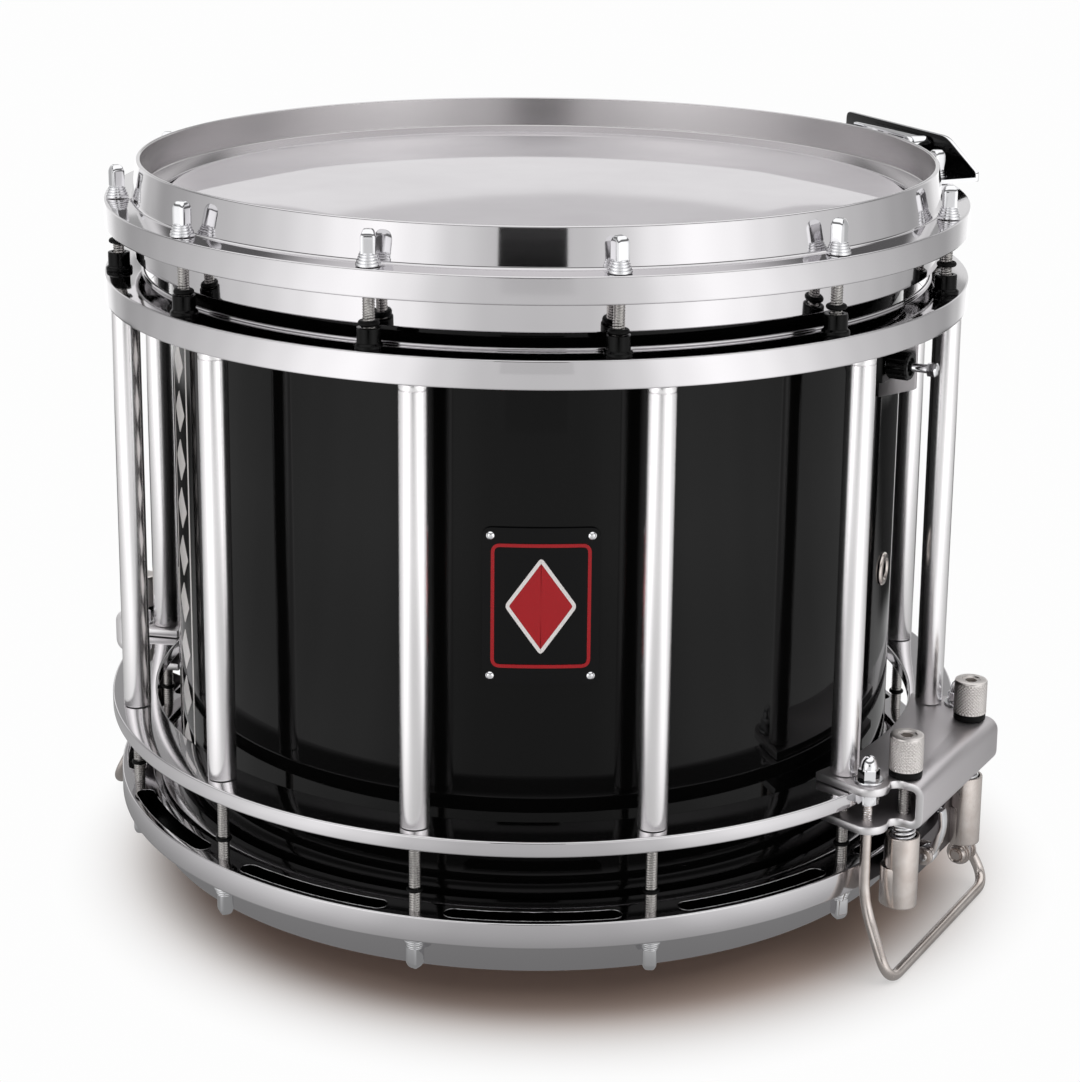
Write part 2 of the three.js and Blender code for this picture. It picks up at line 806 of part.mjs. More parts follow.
function bottomSnares() {
  const clampOuter = barInnerReach - seat;
  const clampInner = clampOuter - snareClampLength;
  const half = strandRadius + snareClampWall;
  return snares(clampInner, clampOuter, bottomStrands, bottomStrands - half, bottomStrands + half);
}

// The far clamp of the top snares has a foot against the shell.
function topSnares() {
  const half = topSnareClamp / 2;
  const body = snares(topSnareReach - topSnareClamp, topSnareReach, topStrands, topStrands - half,
    topStrands + strandRadius);
  const shellFlat = shellInner * Math.cos(Math.PI / roundSides);
  const foot = sideBlock(-strainerArmHalfWidth, strainerArmHalfWidth, seat - shellFlat, seat - topSnareReach,
    topStrands - half, topStrands);
  return body.add(foot);
}

// Top snare strainer

function strainer() {
  const start = shellRadius + seat;
  const armTop = topStrands - topSnareClamp / 2 - seat;
  const armOuter = topSnareReach;
  const armInner = armOuter - topSnareClamp;
  const axleEnd = housingReach + strainerAxleLength;
  const plateAcross = housingHalfWidth + strainerPlateGap;
  const plate = new THREE.Shape();
  plate.moveTo(start, strainerHeight - strainerPlateBelow);
  plate.lineTo(start + strainerPlateWidth, strainerHeight - strainerPlateBelow + strainerPlateSlant);
  plate.lineTo(start + strainerPlateWidth, strainerHeight + strainerPlateAbove);
  plate.lineTo(start, strainerHeight + strainerPlateAbove);
  return union([
    acrossSide(plate, plateAcross, strainerPlateThickness),
    sideBlock(-housingHalfWidth, plateAcross + strainerPlateThickness / 2, start, housingReach,
      strainerHeight - housingHalfHeight, strainerHeight + housingHalfHeight),
    pinOutwards(strainerShaftRadius, armInner + seat, housingReach, 0, strainerHeight, rodSides),
    pinOutwards(strainerAxleRadius, housingReach - seat, axleEnd, 0, strainerHeight, rodSides),
    pinOutwards(strainerTipRadius, axleEnd - strainerTipLength, axleEnd, 0, strainerHeight, rodSides),
    sideBlock(-strainerArmHalfWidth, strainerArmHalfWidth, armInner, armOuter,
      strainerHeight - strainerArmHalfWidth, armTop),
  ]);
}

function strainerKnob() {
  const start = housingReach + strainerKnobGap;
  const end = start + strainerKnobLength;
  const body = pinOutwards(strainerKnobRadius, start, end, 0, strainerHeight, tubeSides);
  const bore = strainerAxleRadius + strainerGap;
  return cut(body, [pinOutwards(bore, start - overrun, end + overrun, 0, strainerHeight, rodSides)]);
}

// Carrier bracket and latch

function carrierBracket() {
  const floor = flangeTop + seat;
  const top = topRim + carrierRise;
  const near = -boltAcross - carrierNearMargin;
  const far = boltAcross + carrierFarMargin;
  const hingeHeight = flangeTop + latchHingeHeight;
  const wall = new THREE.Shape();
  wall.moveTo(near, floor);
  wall.lineTo(far, floor);
  wall.lineTo(far, top);
  wall.lineTo(near + carrierSlope, top);
  wall.lineTo(near, floor + carrierEndHeight);
  const lug = new THREE.Shape();
  lug.moveTo(latchHinge - latchEyeRadius, floor);
  lug.lineTo(latchHinge + latchEyeRadius, floor);
  lug.absarc(latchHinge, hingeHeight, latchEyeRadius, 0, Math.PI, false);
  const lugInner = latchInnerReach - seat - latchLugThickness;
  const pinStart = latchInnerReach - seat - latchLugThickness / 2;
  const pinEnd = carrierInner + carrierSheet / 2;
  const tray = sideBlock(near, far, rimInner, pinEnd, floor, floor + carrierSheet);
  const hoopWall = cylinder(wallFoot + seat, floor - overrun, floor + overrun, roundSides);
  const headRoom = cylinder(washerRadius + rodGap, floor - overrun, floor + overrun, rodSides);
  const body = union([
    outwards(wall, carrierInner, carrierSheet),
    cut(tray, [hoopWall]),
    outwards(lug, lugInner, latchLugThickness),
    pinOutwards(latchPinRadius, pinStart, pinEnd, latchHinge, hingeHeight, rodSides),
  ]);
  const half = postStep / 2;
  return cut(body, [onCircle(headRoom, boltCircleRadius, -half), onCircle(headRoom, boltCircleRadius, half)]);
}

function carrierLatch() {
  const height = flangeTop + latchHingeHeight;
  const tip = boltAcross - latchBoltGap;
  const plate = new THREE.Shape();
  plate.moveTo(latchHinge, height - latchThickness / 2);
  plate.lineTo(tip, height - latchThickness / 2);
  plate.lineTo(tip, height + latchThickness / 2);
  plate.lineTo(latchHinge, height + latchThickness / 2);
  const eye = pinOutwards(latchEyeRadius, latchInnerReach, latchOuterReach, latchHinge, height, tubeSides);
  const bore = latchPinRadius + leverBoreGap;
  return cut(outwards(plate, latchInnerReach, latchWidth).add(eye), [
    pinOutwards(bore, latchInnerReach - overrun, latchOuterReach + overrun, latchHinge, height, tubeSides),
  ]);
}

// Finishes

const finishes = {
  polished: { color: 0xc9c9cd, roughness: 0.16, metalness: 1 },
  satin: { color: 0xd2d1d4, roughness: 0.3, metalness: 1 },
  chrome: { color: 0xdededf, roughness: 0.06, metalness: 1 },
  nickel: { color: 0xaaa29b, roughness: 0.28, metalness: 1 },
  lacquer: { color: 0x0b0b0c, roughness: 0.08, metalness: 0 },
  blackMetal: { color: 0x141415, roughness: 0.35, metalness: 0 },
  film: { color: 0xd9d6d9, roughness: 0.25, metalness: 0 },
  wire: { color: 0xbfb6a4, roughness: 0.45, metalness: 0 },
};

// Assembly

const drum = new THREE.Group();
drum.name = 'marching_snare_drum';

function add(name, body, finish, angle = 0) {
  const { vertProperties, triVerts } = body.getMesh();
  const geometry = new THREE.BufferGeometry();
  geometry.setAttribute('position', new THREE.BufferAttribute(vertProperties, 3));
  geometry.setIndex(new THREE.BufferAttribute(triVerts, 1));
  geometry.computeVertexNormals();
  const mesh = new THREE.Mesh(geometry, new THREE.MeshStandardMaterial(finishes[finish]));
  mesh.name = name;
  mesh.rotation.z = radians(angle);
  drum.add(mesh);
}

function numbered(name, i) {
  return `${name}_${String(i + 1).padStart(2, '0')}`;
}

add('shell', shell(), 'lacquer');
add('top_head', head(1), 'film');
add('bottom_head', head(-1), 'film');
add('top_hoop', topHoop(), 'polished');
add('bottom_hoop', bottomHoop(), 'polished');
add('upper_ring', upperRing(), 'polished');
add('lower_ring', lowerRing(), 'polished');

const topRodLength = flangeTop - upperRingTop + rodBite;
const bottomRodLength = lowerRingTop - bottomSeat + rodInTube;

posts(firstTubeAngle).forEach((angle, i) => {
  const tube = frameTube(isOnBracket(angle)).translate([0, -tubeCircleRadius, 0]);
  const bolt = tensionBolt(bottomRodLength).rotate([180, 0, 0]).translate([0, -tubeCircleRadius, bottomSeat]);
  add(numbered('frame_tube', i), tube, 'satin', angle);
  add(numbered('bottom_tension_bolt', i), bolt, 'chrome', angle);
});

posts(firstBoltAngle).forEach((angle, i) => {
  const bolt = tensionBolt(topRodLength).translate([0, -boltCircleRadius, flangeTop]);
  add(numbered('top_tension_bolt', i), bolt, 'chrome', angle);
});

// Front is the badge side, so it lies at opposite ends of the two brackets.
for (const [side, angle, front] of [['right', bracketAngle, -1], ['left', bracketAngle + 180, 1]]) {
  add(`${side}_bracket`, bracket(), 'satin', angle);
  add(`${side}_foot_wire`, footWire(), 'nickel', angle);
  add(`${side}_snare_carriage`, carriage(side === 'right'), 'nickel', angle);
  for (const [end, across] of [['front', front * knobAcross], ['rear', -front * knobAcross]]) {
    add(`${side}_${end}_height_knob`, heightKnob().translate([across, -knobReach, 0]), 'nickel', angle);
  }
}

add('snare_release_lever', releaseLever(), 'chrome', bracketAngle);
add('bottom_snares', bottomSnares(), 'wire', bracketAngle);
add('top_snares', topSnares(), 'wire', strainerAngle);
add('top_snare_strainer', strainer(), 'satin', strainerAngle);
add('top_snare_knob', strainerKnob(), 'blackMetal', strainerAngle);
add('carrier_bracket', carrierBracket(), 'chrome', carrierAngle);
add('carrier_latch', carrierLatch(), 'chrome', carrierAngle);

export default drum;
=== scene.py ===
import math

import bmesh
import bpy
import numpy as np
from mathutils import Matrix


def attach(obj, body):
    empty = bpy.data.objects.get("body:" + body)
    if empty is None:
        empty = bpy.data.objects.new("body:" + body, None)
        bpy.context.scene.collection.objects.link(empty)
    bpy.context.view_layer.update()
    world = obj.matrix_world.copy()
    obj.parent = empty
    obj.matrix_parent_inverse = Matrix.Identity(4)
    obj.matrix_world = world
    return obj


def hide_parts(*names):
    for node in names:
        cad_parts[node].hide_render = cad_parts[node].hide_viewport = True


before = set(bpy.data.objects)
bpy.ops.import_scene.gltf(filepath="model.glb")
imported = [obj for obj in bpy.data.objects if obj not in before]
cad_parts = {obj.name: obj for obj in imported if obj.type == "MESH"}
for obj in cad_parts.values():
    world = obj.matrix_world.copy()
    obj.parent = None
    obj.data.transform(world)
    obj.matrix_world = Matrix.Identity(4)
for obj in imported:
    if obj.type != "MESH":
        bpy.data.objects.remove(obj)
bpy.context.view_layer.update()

print("frame loaded:", len(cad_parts), "nodes")

mm = 0.001
rightSide, leftSide = 60, 240          # angles of the two brackets, from the badge side towards +X
topBoltAngles = 9.5 + 30 * np.arange(12)
tubeAngles = 15 + 30 * np.arange(12)


# Outlines and surfaces, all in millimetres until a piece is made

def bent(a, middle, b, t):
    # the curve (1-t)^2 a + 2t(1-t) m + t^2 b, which leaves a towards m and comes from m to b
    return (1 - t) ** 2 * a + 2 * t * (1 - t) * middle + t * t * b


def rounded(outline, cuts, steps=3):
    # each corner becomes a bent curve between two points, one cut away from it on each side
    p = np.array(outline, float)
    before, after = np.roll(p, 1, 0) - p, np.roll(p, -1, 0) - p
    toBefore = np.linalg.norm(before, axis=1, keepdims=True)
    toAfter = np.linalg.norm(after, axis=1, keepdims=True)
    cut = np.broadcast_to(np.asarray(cuts, float).reshape(-1, 1), (len(p), 1))
    a = p + before / toBefore * np.minimum(cut, 0.48 * toBefore)
    b = p + after / toAfter * np.minimum(cut, 0.48 * toAfter)
    t = np.linspace(0, 1, steps + 1)[None, :, None]
    return bent(a[:, None], p[:, None], b[:, None], t).reshape(-1, p.shape[1])


def spread(outline, step):
    # a closed outline with further points along every line longer than the step
    p = np.array(outline, float)
    following = np.roll(p, -1, 0)
    counts = np.maximum(1, np.ceil(np.linalg.norm(following - p, axis=1) / step)).astype(int)
    start, end = np.repeat(p, counts, 0), np.repeat(following, counts, 0)
    first = np.repeat(np.cumsum(counts) - counts, counts)
    share = (np.arange(counts.sum()) - first) / np.repeat(counts, counts)
    return start + (end - start) * share[:, None]


def arc(centre, radius, start, end, steps):
    # points centre + radius (cos s, sin s) for s from start to end in degrees
    s = np.radians(np.linspace(start, end, steps + 1))
    return np.stack([centre[0] + radius * np.cos(s), centre[1] + radius * np.sin(s)], 1)


def gridFaces(rows, columns, closedRows=False, closedColumns=False):
    # the cell (i, j) joins points i and i+1 of rows with j and j+1 of columns, wrapping round where closed
    i = np.arange(rows if closedRows else rows - 1)[:, None]
    j = np.arange(columns if closedColumns else columns - 1)[None, :]
    nextI, nextJ = (i + 1) % rows, (j + 1) % columns
    corners = [i * columns + j, i * columns + nextJ, nextI * columns + nextJ, nextI * columns + j]
    return np.stack([np.broadcast_to(c, (i.size, j.size)).ravel() for c in corners], 1).tolist()


def roundAngles(sides):
    return np.linspace(0, 2 * np.pi, sides, endpoint=False)[None, :]


def surface(x, y, z, closedRows=False):
    # a grid of points, each row of them a closed ring
    grid = np.stack(np.broadcast_arrays(x, y, z), 2)
    return grid.reshape(-1, 3), gridFaces(*grid.shape[:2], closedRows, True)


def turned(profile, sides=48, closed=True):
    # the point (r, z) of the profile at angle a is (r sin a, -r cos a, z)
    p, a = np.array(profile, float), roundAngles(sides)
    r, z = p[:, :1], p[:, 1:]
    return surface(r * np.sin(a), -r * np.cos(a), z, closed)


def rectangle(left, right, low, high):
    return [[left, low], [right, low], [right, high], [left, high]]


def disc(radius, low, high, edge=0.3, sides=32, steps=2):
    # a turned profile from the axis out to the radius and back, with its two edges eased
    profile = rounded(rectangle(0, radius, low, high), [0, edge, edge, 0], steps)
    return turned(profile, sides, False)


def ring(inner, outer, low, high, edge=0.3, sides=32, steps=2):
    return turned(rounded(rectangle(inner, outer, low, high), edge, steps), sides)


def torus(radius, tube, height, sides=32):
    # a circle of the tube's radius turned round the axis
    return turned(arc((radius, height), tube, 0, 345, 23), sides)


def threaded(radius, depth, pitch, low, high, sides=16, rowsPerTurn=5):
    # the radius is r - depth |2 frac(z / pitch - a / 2 pi) - 1|, one groove that climbs a pitch a turn
    rows = max(3, int((high - low) / pitch * rowsPerTurn))
    z, a = np.linspace(low, high, rows)[:, None], roundAngles(sides)
    wave = np.abs(2 * np.mod(z / pitch - a / (2 * np.pi), 1) - 1)
    r = radius - depth * wave
    r = np.vstack([0 * a, r, 0 * a])
    z = np.vstack([[[low]], z, [[high]]])
    return surface(r * np.sin(a), -r * np.cos(a), z)


def squareLoft(levels, power=7, sides=40):
    # a square with round corners: at each height w (cos a, sin a) / (|cos a|^p + |sin a|^p)^(1/p)
    level, a = np.array(levels, float), roundAngles(sides)
    c, s = np.cos(a), np.sin(a)
    scale = (np.abs(c) ** power + np.abs(s) ** power) ** (-1 / power)
    w, z = level[:, :1], level[:, 1:]
    return surface(w * scale * c, w * scale * s, z)


def hexLoft(levels, sides=48):
    # at each height the section is a regular hexagon, w / cos(a mod 60 - 30), or a circle where round is 1
    level, a = np.array(levels, float), roundAngles(sides)
    hexagon = 1 / np.cos(np.mod(a, np.pi / 3) - np.pi / 6)
    w, z, isRound = level[:, :1], level[:, 1:2], level[:, 2:]
    r = w * (isRound + (1 - isRound) * hexagon)
    return surface(r * np.cos(a), r * np.sin(a), z)


def alongPath(path, radius, sides=16, up=(0, 0, 1)):
    # a circle in the plane square to the path, its first spoke kept as near to up as the path allows
    p = np.array(path, float)
    along = np.gradient(p, axis=0)
    along /= np.linalg.norm(along, axis=1, keepdims=True)
    first = np.array(up, float) - along * (along @ np.array(up, float))[:, None]
    first /= np.linalg.norm(first, axis=1, keepdims=True)
    second = np.cross(along, first)
    a = roundAngles(sides)[..., None]
    r = np.broadcast_to(np.asarray(radius, float), (len(p),))[:, None, None]
    wall = p[:, None] + r * (np.cos(a) * first[:, None] + np.sin(a) * second[:, None])
    start, end = np.repeat(p[:1], sides, 0)[None], np.repeat(p[-1:], sides, 0)[None]
    points = np.concatenate([start, wall, end]).reshape(-1, 3)
    return points, gridFaces(len(p) + 2, sides, False, True)


def loopAlong(path, radius, sides=6):
    # a closed level path with a circle of the radius round it
    p = np.array(path, float)
    along = np.roll(p, -1, 0) - np.roll(p, 1, 0)
    along /= np.linalg.norm(along, axis=1, keepdims=True)
    aside = np.stack([along[:, 1], -along[:, 0], 0 * along[:, 0]], 1)
    a = roundAngles(sides)[..., None]
    points = p[:, None] + radius * (np.cos(a) * aside[:, None] + np.sin(a) * np.array([0, 0, 1]))
    return points.reshape(-1, 3), gridFaces(len(p), sides, True, True)


def prism(outline, low, high):
    # an outline in x and y, closed at two heights
    p = np.array(outline, float)
    n = len(p)
    points = np.vstack([np.c_[p, np.full(n, low)], np.c_[p, np.full(n, high)]])
    faces = gridFaces(2, n, False, True) + [list(range(n)), list(range(n, 2 * n))]
    return points, faces


def block(half, near, far, low, high):
    return prism(rectangle(-half, half, near, far), low, high)


def joined(*parts):
    points, faces, offset = [], [], 0
    for partPoints, partFaces in parts:
        points.append(partPoints)
        faces += [[index + offset for index in face] for face in partFaces]
        offset += len(partPoints)
    return np.vstack(points), faces


def moved(part, x=0, y=0, z=0):
    return part[0] + np.array([x, y, z], float), part[1]


def spun(part, angle):
    # turned about the vertical axis by an angle in degrees
    c, s = math.cos(math.radians(angle)), math.sin(math.radians(angle))
    return part[0] @ np.array([[c, s, 0], [-s, c, 0], [0, 0, 1]]), part[1]


def placed(part, angle, reach=0, x=0, z=0):
    # moved outwards on the badge side, and turned to its angle from there
    return spun(moved(part, x, -reach, z), angle)


def flipped(part, height):
    # turned half round about the line y = 0 at half of the given height, which swaps up and down
    return part[0] * [1, -1, -1] + np.array([0, 0, height]), part[1]


def alongT(part):
    # the part's z axis laid along t, its x axis downwards
    x, y, z = part[0].T
    return np.stack([z, y, -x], 1), part[1]


def outwardsR(part):
    # the part's z axis laid outwards, along local -y, its y axis upwards
    x, y, z = part[0].T
    return np.stack([x, -z, y], 1), part[1]


def sheetAcross(outline, start, length):
    # an outline in r and z, extruded along t
    points, faces = prism(outline, start, start + length)
    return np.stack([points[:, 2], -points[:, 0], points[:, 1]], 1), faces


def sheetOutwards(outline, reach, length):
    # an outline in t and z, extruded outwards
    points, faces = prism(outline, reach, reach + length)
    return np.stack([points[:, 0], -points[:, 2], points[:, 1]], 1), faces


# Materials

def hexColour(code):
    # an sRGB hex value as linear red, green, blue and alpha
    channel = np.array([int(code[i:i + 2], 16) for i in (0, 2, 4)]) / 255
    linear = np.where(channel <= 0.04045, channel / 12.92, ((channel + 0.055) / 1.055) ** 2.4)
    return (*linear.tolist(), 1)


def addNode(tree, kind, inputs=None, **settings):
    # a node with its settings, and for each input a value or the output that feeds it
    node = tree.nodes.new(kind)
    for name, value in settings.items():
        setattr(node, name, value)
    for socket, value in (inputs or {}).items():
        if isinstance(value, bpy.types.NodeSocket):
            tree.links.new(value, node.inputs[socket])
        else:
            node.inputs[socket].default_value = value
    return node


def calculated(tree, operation, *values):
    return addNode(tree, "ShaderNodeMath", dict(enumerate(values)), operation=operation).outputs["Value"]


def product(tree, first, *others):
    for value in others:
        first = calculated(tree, "MULTIPLY", first, value)
    return first


def vectorLength(tree, vector):
    return addNode(tree, "ShaderNodeVectorMath", {0: vector}, operation="LENGTH").outputs["Value"]


def stepped(tree, value, start, end, low=0, high=1):
    # a smooth rise from one level to another
    return addNode(tree, "ShaderNodeMapRange", {
        "Value": value, "From Min": start, "From Max": end, "To Min": low, "To Max": high},
        interpolation_type="SMOOTHSTEP").outputs["Result"]


def mixedValues(tree, share, first, second):
    return addNode(tree, "ShaderNodeMix", {"Factor": share, "A": first, "B": second},
                   data_type="FLOAT").outputs["Result"]


def startMaterial(name, **values):
    # a Principled surface with plain values, and the Object coordinates that its patterns read
    material = bpy.data.materials.new(name)
    material.use_nodes = True
    tree = material.node_tree
    shader = tree.nodes["Principled BSDF"]
    for socket, value in values.items():
        shader.inputs[socket.replace("_", " ")].default_value = value
    place = addNode(tree, "ShaderNodeTexCoord").outputs["Object"]
    return material, tree, shader, place


def setTones(ramp, *codes):
    # two colours, mixed over the middle third of a noise
    for stop, position, code in zip(ramp.color_ramp.elements, (0.35, 0.65), codes):
        stop.position, stop.color = position, hexColour(code)


def roughen(tree, shader, pattern, low, high, bump, depth):
    # the pattern, 0 to 1, moves the roughness between two values and raises the surface by the depth in mm
    rough = addNode(tree, "ShaderNodeMapRange", {"Value": pattern, "To Min": low, "To Max": high})
    relief = addNode(tree, "ShaderNodeBump", {"Height": pattern, "Strength": bump, "Distance": depth * mm})
    tree.links.new(rough.outputs["Result"], shader.inputs["Roughness"])
    tree.links.new(relief.outputs["Normal"], shader.inputs["Normal"])


def roundAxis(tree, place):
    # the distance from the drum's axis and the height, as a vector that is the same all the way round
    axes = addNode(tree, "ShaderNodeSeparateXYZ", {"Vector": place}).outputs
    flat = addNode(tree, "ShaderNodeCombineXYZ", {"X": axes["X"], "Y": axes["Y"]}).outputs["Vector"]
    radius = vectorLength(tree, flat)
    return addNode(tree, "ShaderNodeCombineXYZ", {"X": radius, "Y": axes["Z"]}).outputs["Vector"]


def turnedAluminium(name, code, low, high, markWidth, bump):
    # aluminium turned on a lathe and polished: fine rings round the axis stretch its reflections up and down
    material, tree, shader, place = startMaterial(
        name, Base_Color=hexColour(code), Metallic=1, Anisotropic=0.4, Anisotropic_Rotation=0.25)
    marks = addNode(tree, "ShaderNodeTexNoise", {
        "Vector": roundAxis(tree, place), "Scale": 1 / (markWidth * mm), "Detail": 3, "Roughness": 0.6})
    around = addNode(tree, "ShaderNodeTangent", direction_type="RADIAL", axis="Z")
    tree.links.new(around.outputs["Tangent"], shader.inputs["Tangent"])
    roughen(tree, shader, marks.outputs["Fac"], low, high, bump, 0.01)
    return material


def grainedMetal(name, code, low, high, grain, bump, depth, stretch=(1, 1, 1), stain=None):
    # a metal whose finish shows as grains of the given size in mm, longer along the axes with a small stretch
    material, tree, shader, place = startMaterial(name, Base_Color=hexColour(code), Metallic=1)
    stretched = addNode(tree, "ShaderNodeMapping", {"Vector": place, "Scale": stretch}).outputs["Vector"]
    grains = addNode(tree, "ShaderNodeTexNoise", {
        "Vector": stretched, "Scale": 1 / (grain * mm), "Detail": 3, "Roughness": 0.65})
    roughen(tree, shader, grains.outputs["Fac"], low, high, bump, depth)
    if stain:
        cloud = addNode(tree, "ShaderNodeTexNoise", {"Vector": place, "Scale": 1 / (9 * mm), "Detail": 4})
        mixed = addNode(tree, "ShaderNodeValToRGB", {"Fac": cloud.outputs["Fac"]})
        setTones(mixed, stain, code)
        tree.links.new(mixed.outputs["Color"], shader.inputs["Base Color"])
    return material


def coatedSurface(name, code, low, high, grain, bump, depth, **values):
    # paint, rubber or plastic: a plain colour under grains of the given size in mm
    material, tree, shader, place = startMaterial(name, Base_Color=hexColour(code), **values)
    grains = addNode(tree, "ShaderNodeTexNoise", {
        "Vector": place, "Scale": 1 / (grain * mm), "Detail": 2, "Roughness": 0.5})
    roughen(tree, shader, grains.outputs["Fac"], low, high, bump, depth)
    return material


def headFilm(name):
    # a laminated fibre head: a pale grey weave under a smooth clear face, a little cloudy
    material, tree, shader, place = startMaterial(name, IOR=1.5)
    weave = {"threadSpacing": 0.9, "cloud": 60}  # mm, the weave coarser than the real 0.3 so that it shows
    cloth = [addNode(tree, "ShaderNodeTexWave", {
        "Vector": place, "Scale": 0.314 / (weave["threadSpacing"] * mm), "Distortion": 0.4, "Detail": 1},
        bands_direction=axis).outputs["Fac"] for axis in ("X", "Y")]
    both = addNode(tree, "ShaderNodeMath", {0: cloth[0], 1: cloth[1]}, operation="MULTIPLY").outputs["Value"]
    cloud = addNode(tree, "ShaderNodeTexNoise", {
        "Vector": place, "Scale": 1 / (weave["cloud"] * mm), "Detail": 3})
    tones = addNode(tree, "ShaderNodeValToRGB", {"Fac": cloud.outputs["Fac"]})
    setTones(tones, "c0bcc0", "c8c4c8")
    tree.links.new(tones.outputs["Color"], shader.inputs["Base Color"])
    roughen(tree, shader, both, 0.02, 0.04, 0.01, 0.005)
    return material


finish = {
    "hoop": turnedAluminium("aluminium_turned_polished", "d2d0d2", 0.045, 0.08, 0.5, 0.05),
    "inside": turnedAluminium("aluminium_turned_satin", "c6c3c4", 0.22, 0.28, 0.5, 0.04),
    "flange": turnedAluminium("aluminium_turned_fine", "d1cfd1", 0.1, 0.16, 0.5, 0.04),
    "tube": grainedMetal("aluminium_anodised_satin", "fbf9fa", 0.22, 0.28, 0.5, 0.04, 0.01, (1, 1, 0.03)),
    "plate": grainedMetal("aluminium_tumbled_satin", "cdc9cb", 0.36, 0.46, 0.45, 0.25, 0.012),
    "edge": grainedMetal("aluminium_cut_bright", "e6e4e5", 0.28, 0.38, 0.3, 0.1, 0.01),
    "chrome": grainedMetal("chrome_plated_steel", "ebebed", 0.04, 0.07, 2.5, 0.02, 0.01),
    "nickel": grainedMetal("nickel_plated_steel", "ddd5d0", 0.2, 0.3, 1.2, 0.06, 0.02, stain="d0c6c0"),
    "darkened": grainedMetal("steel_darkened", "6a6668", 0.3, 0.42, 1.5, 0.1, 0.02),
    "knob": grainedMetal("nickel_satin_turned", "dfdad7", 0.28, 0.36, 0.4, 0.1, 0.012),
    "thread": grainedMetal("steel_zinc_thread", "b9b6b3", 0.22, 0.34, 0.6, 0.1, 0.01),
    "strand": grainedMetal("steel_spiral_wire", "c4bdae", 0.25, 0.35, 0.5, 0.2, 0.02),
    "lacquer": coatedSurface("lacquer_black_gloss", "070707", 0.035, 0.06, 40, 0.02, 0.05, IOR=1.26),
    "ply": coatedSurface("birch_ply_bare", "a97c50", 0.5, 0.65, 3, 0.2, 0.05),
    "black": coatedSurface("steel_coated_black", "030303", 0.14, 0.22, 0.6, 0.1, 0.02, IOR=1.24),
    "rubber": coatedSurface("rubber_black", "040404", 0.4, 0.55, 0.5, 0.2, 0.02, IOR=1.24),
    "red": coatedSurface("enamel_red", "a80d18", 0.14, 0.2, 1.5, 0.04, 0.01, IOR=1.4),
    "badge": coatedSurface("badge_black_satin", "060607", 0.16, 0.24, 0.8, 0.08, 0.01, IOR=1.26),
    "pale": coatedSurface("enamel_white", "e6e3e2", 0.2, 0.3, 1.5, 0.04, 0.01),
    "film": headFilm("head_fibre_laminate"),
}
print("materials ready:", len(finish))


# Making a piece

making = {"seam": 0.002, "bevelSteps": 2, "bevelAngle": 35}


def closedObject(name, part):
    # points in mm and faces as an object whose seams are closed and whose faces look outwards
    points, faces = part
    mesh = bpy.data.meshes.new(name)
    mesh.from_pydata((points * mm).tolist(), [], faces)
    made = bmesh.new()
    made.from_mesh(mesh)
    bmesh.ops.remove_doubles(made, verts=made.verts, dist=making["seam"] * mm)
    bmesh.ops.recalc_face_normals(made, faces=made.faces)
    made.to_mesh(mesh)
    made.free()
    piece = bpy.data.objects.new(name, mesh)
    bpy.context.scene.collection.objects.link(piece)
    return piece


def addPiece(name, part, material, body="drum", stands=(), bevel=0, crease=32):
    # a piece with its edges eased and its material, on its body and in place of the nodes it stands for
    piece = closedObject(name, part)
    if bevel:
        edge = piece.modifiers.new("edges", "BEVEL")
        edge.width, edge.segments = bevel * mm, making["bevelSteps"]
        edge.limit_method, edge.angle_limit = "ANGLE", math.radians(making["bevelAngle"])
        settle(piece)
    smooth(piece, crease)
    for each in material if isinstance(material, (list, tuple)) else [material]:
        piece.data.materials.append(finish[each])
    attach(piece, body)
    if stands:
        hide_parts(*stands)
    return piece


def settle(piece):
    # the modifiers' result becomes the piece's own mesh
    graph = bpy.context.evaluated_depsgraph_get()
    result = bpy.data.meshes.new_from_object(piece.evaluated_get(graph))
    piece.modifiers.clear()
    piece.data = result


def smooth(piece, crease):
    mesh = piece.data
    mesh.polygons.foreach_set("use_smooth", np.ones(len(mesh.polygons), bool))
    mesh.set_sharp_from_angle(angle=math.radians(crease))


def bored(piece, cutters, crease=32):
    # takes closed solids, in mm, out of the piece
    cutter = closedObject("cutter", joined(*cutters))
    take = piece.modifiers.new("bores", "BOOLEAN")
    take.operation, take.object, take.solver = "DIFFERENCE", cutter, "EXACT"
    settle(piece)
    bpy.data.objects.remove(cutter)
    smooth(piece, crease)


def faceValues(piece, attribute):
    # each face's centre or normal
    values = np.empty(len(piece.data.polygons) * 3)
    piece.data.polygons.foreach_get(attribute, values)
    return values.reshape(-1, 3)


def paintFaces(piece, chosen):
    # each face takes the material of the given number
    piece.data.polygons.foreach_set("material_index", chosen.astype(np.int32))


def numbered(name, index):
    return f"{name}_{index + 1:02d}"


# Shell and heads

shell = {"radius": 175, "wall": 6, "low": 37.4, "high": 332.6, "bevel": 2.2, "crest": 2.5,
         "ventAngle": 69, "ventHeight": 164, "ventRadius": 5, "liningRadii": (3.3, 4.25), "liningProud": 0.8,
         "eyelet": [(4.2, -3), (5, -3), (5, 0.2), (8, 0.2), (7.4, 1.3), (5.2, 1.7), (4.2, 0.6)],
         "shaftHeight": 270, "shaftRadius": 3.5, "bore": 3}


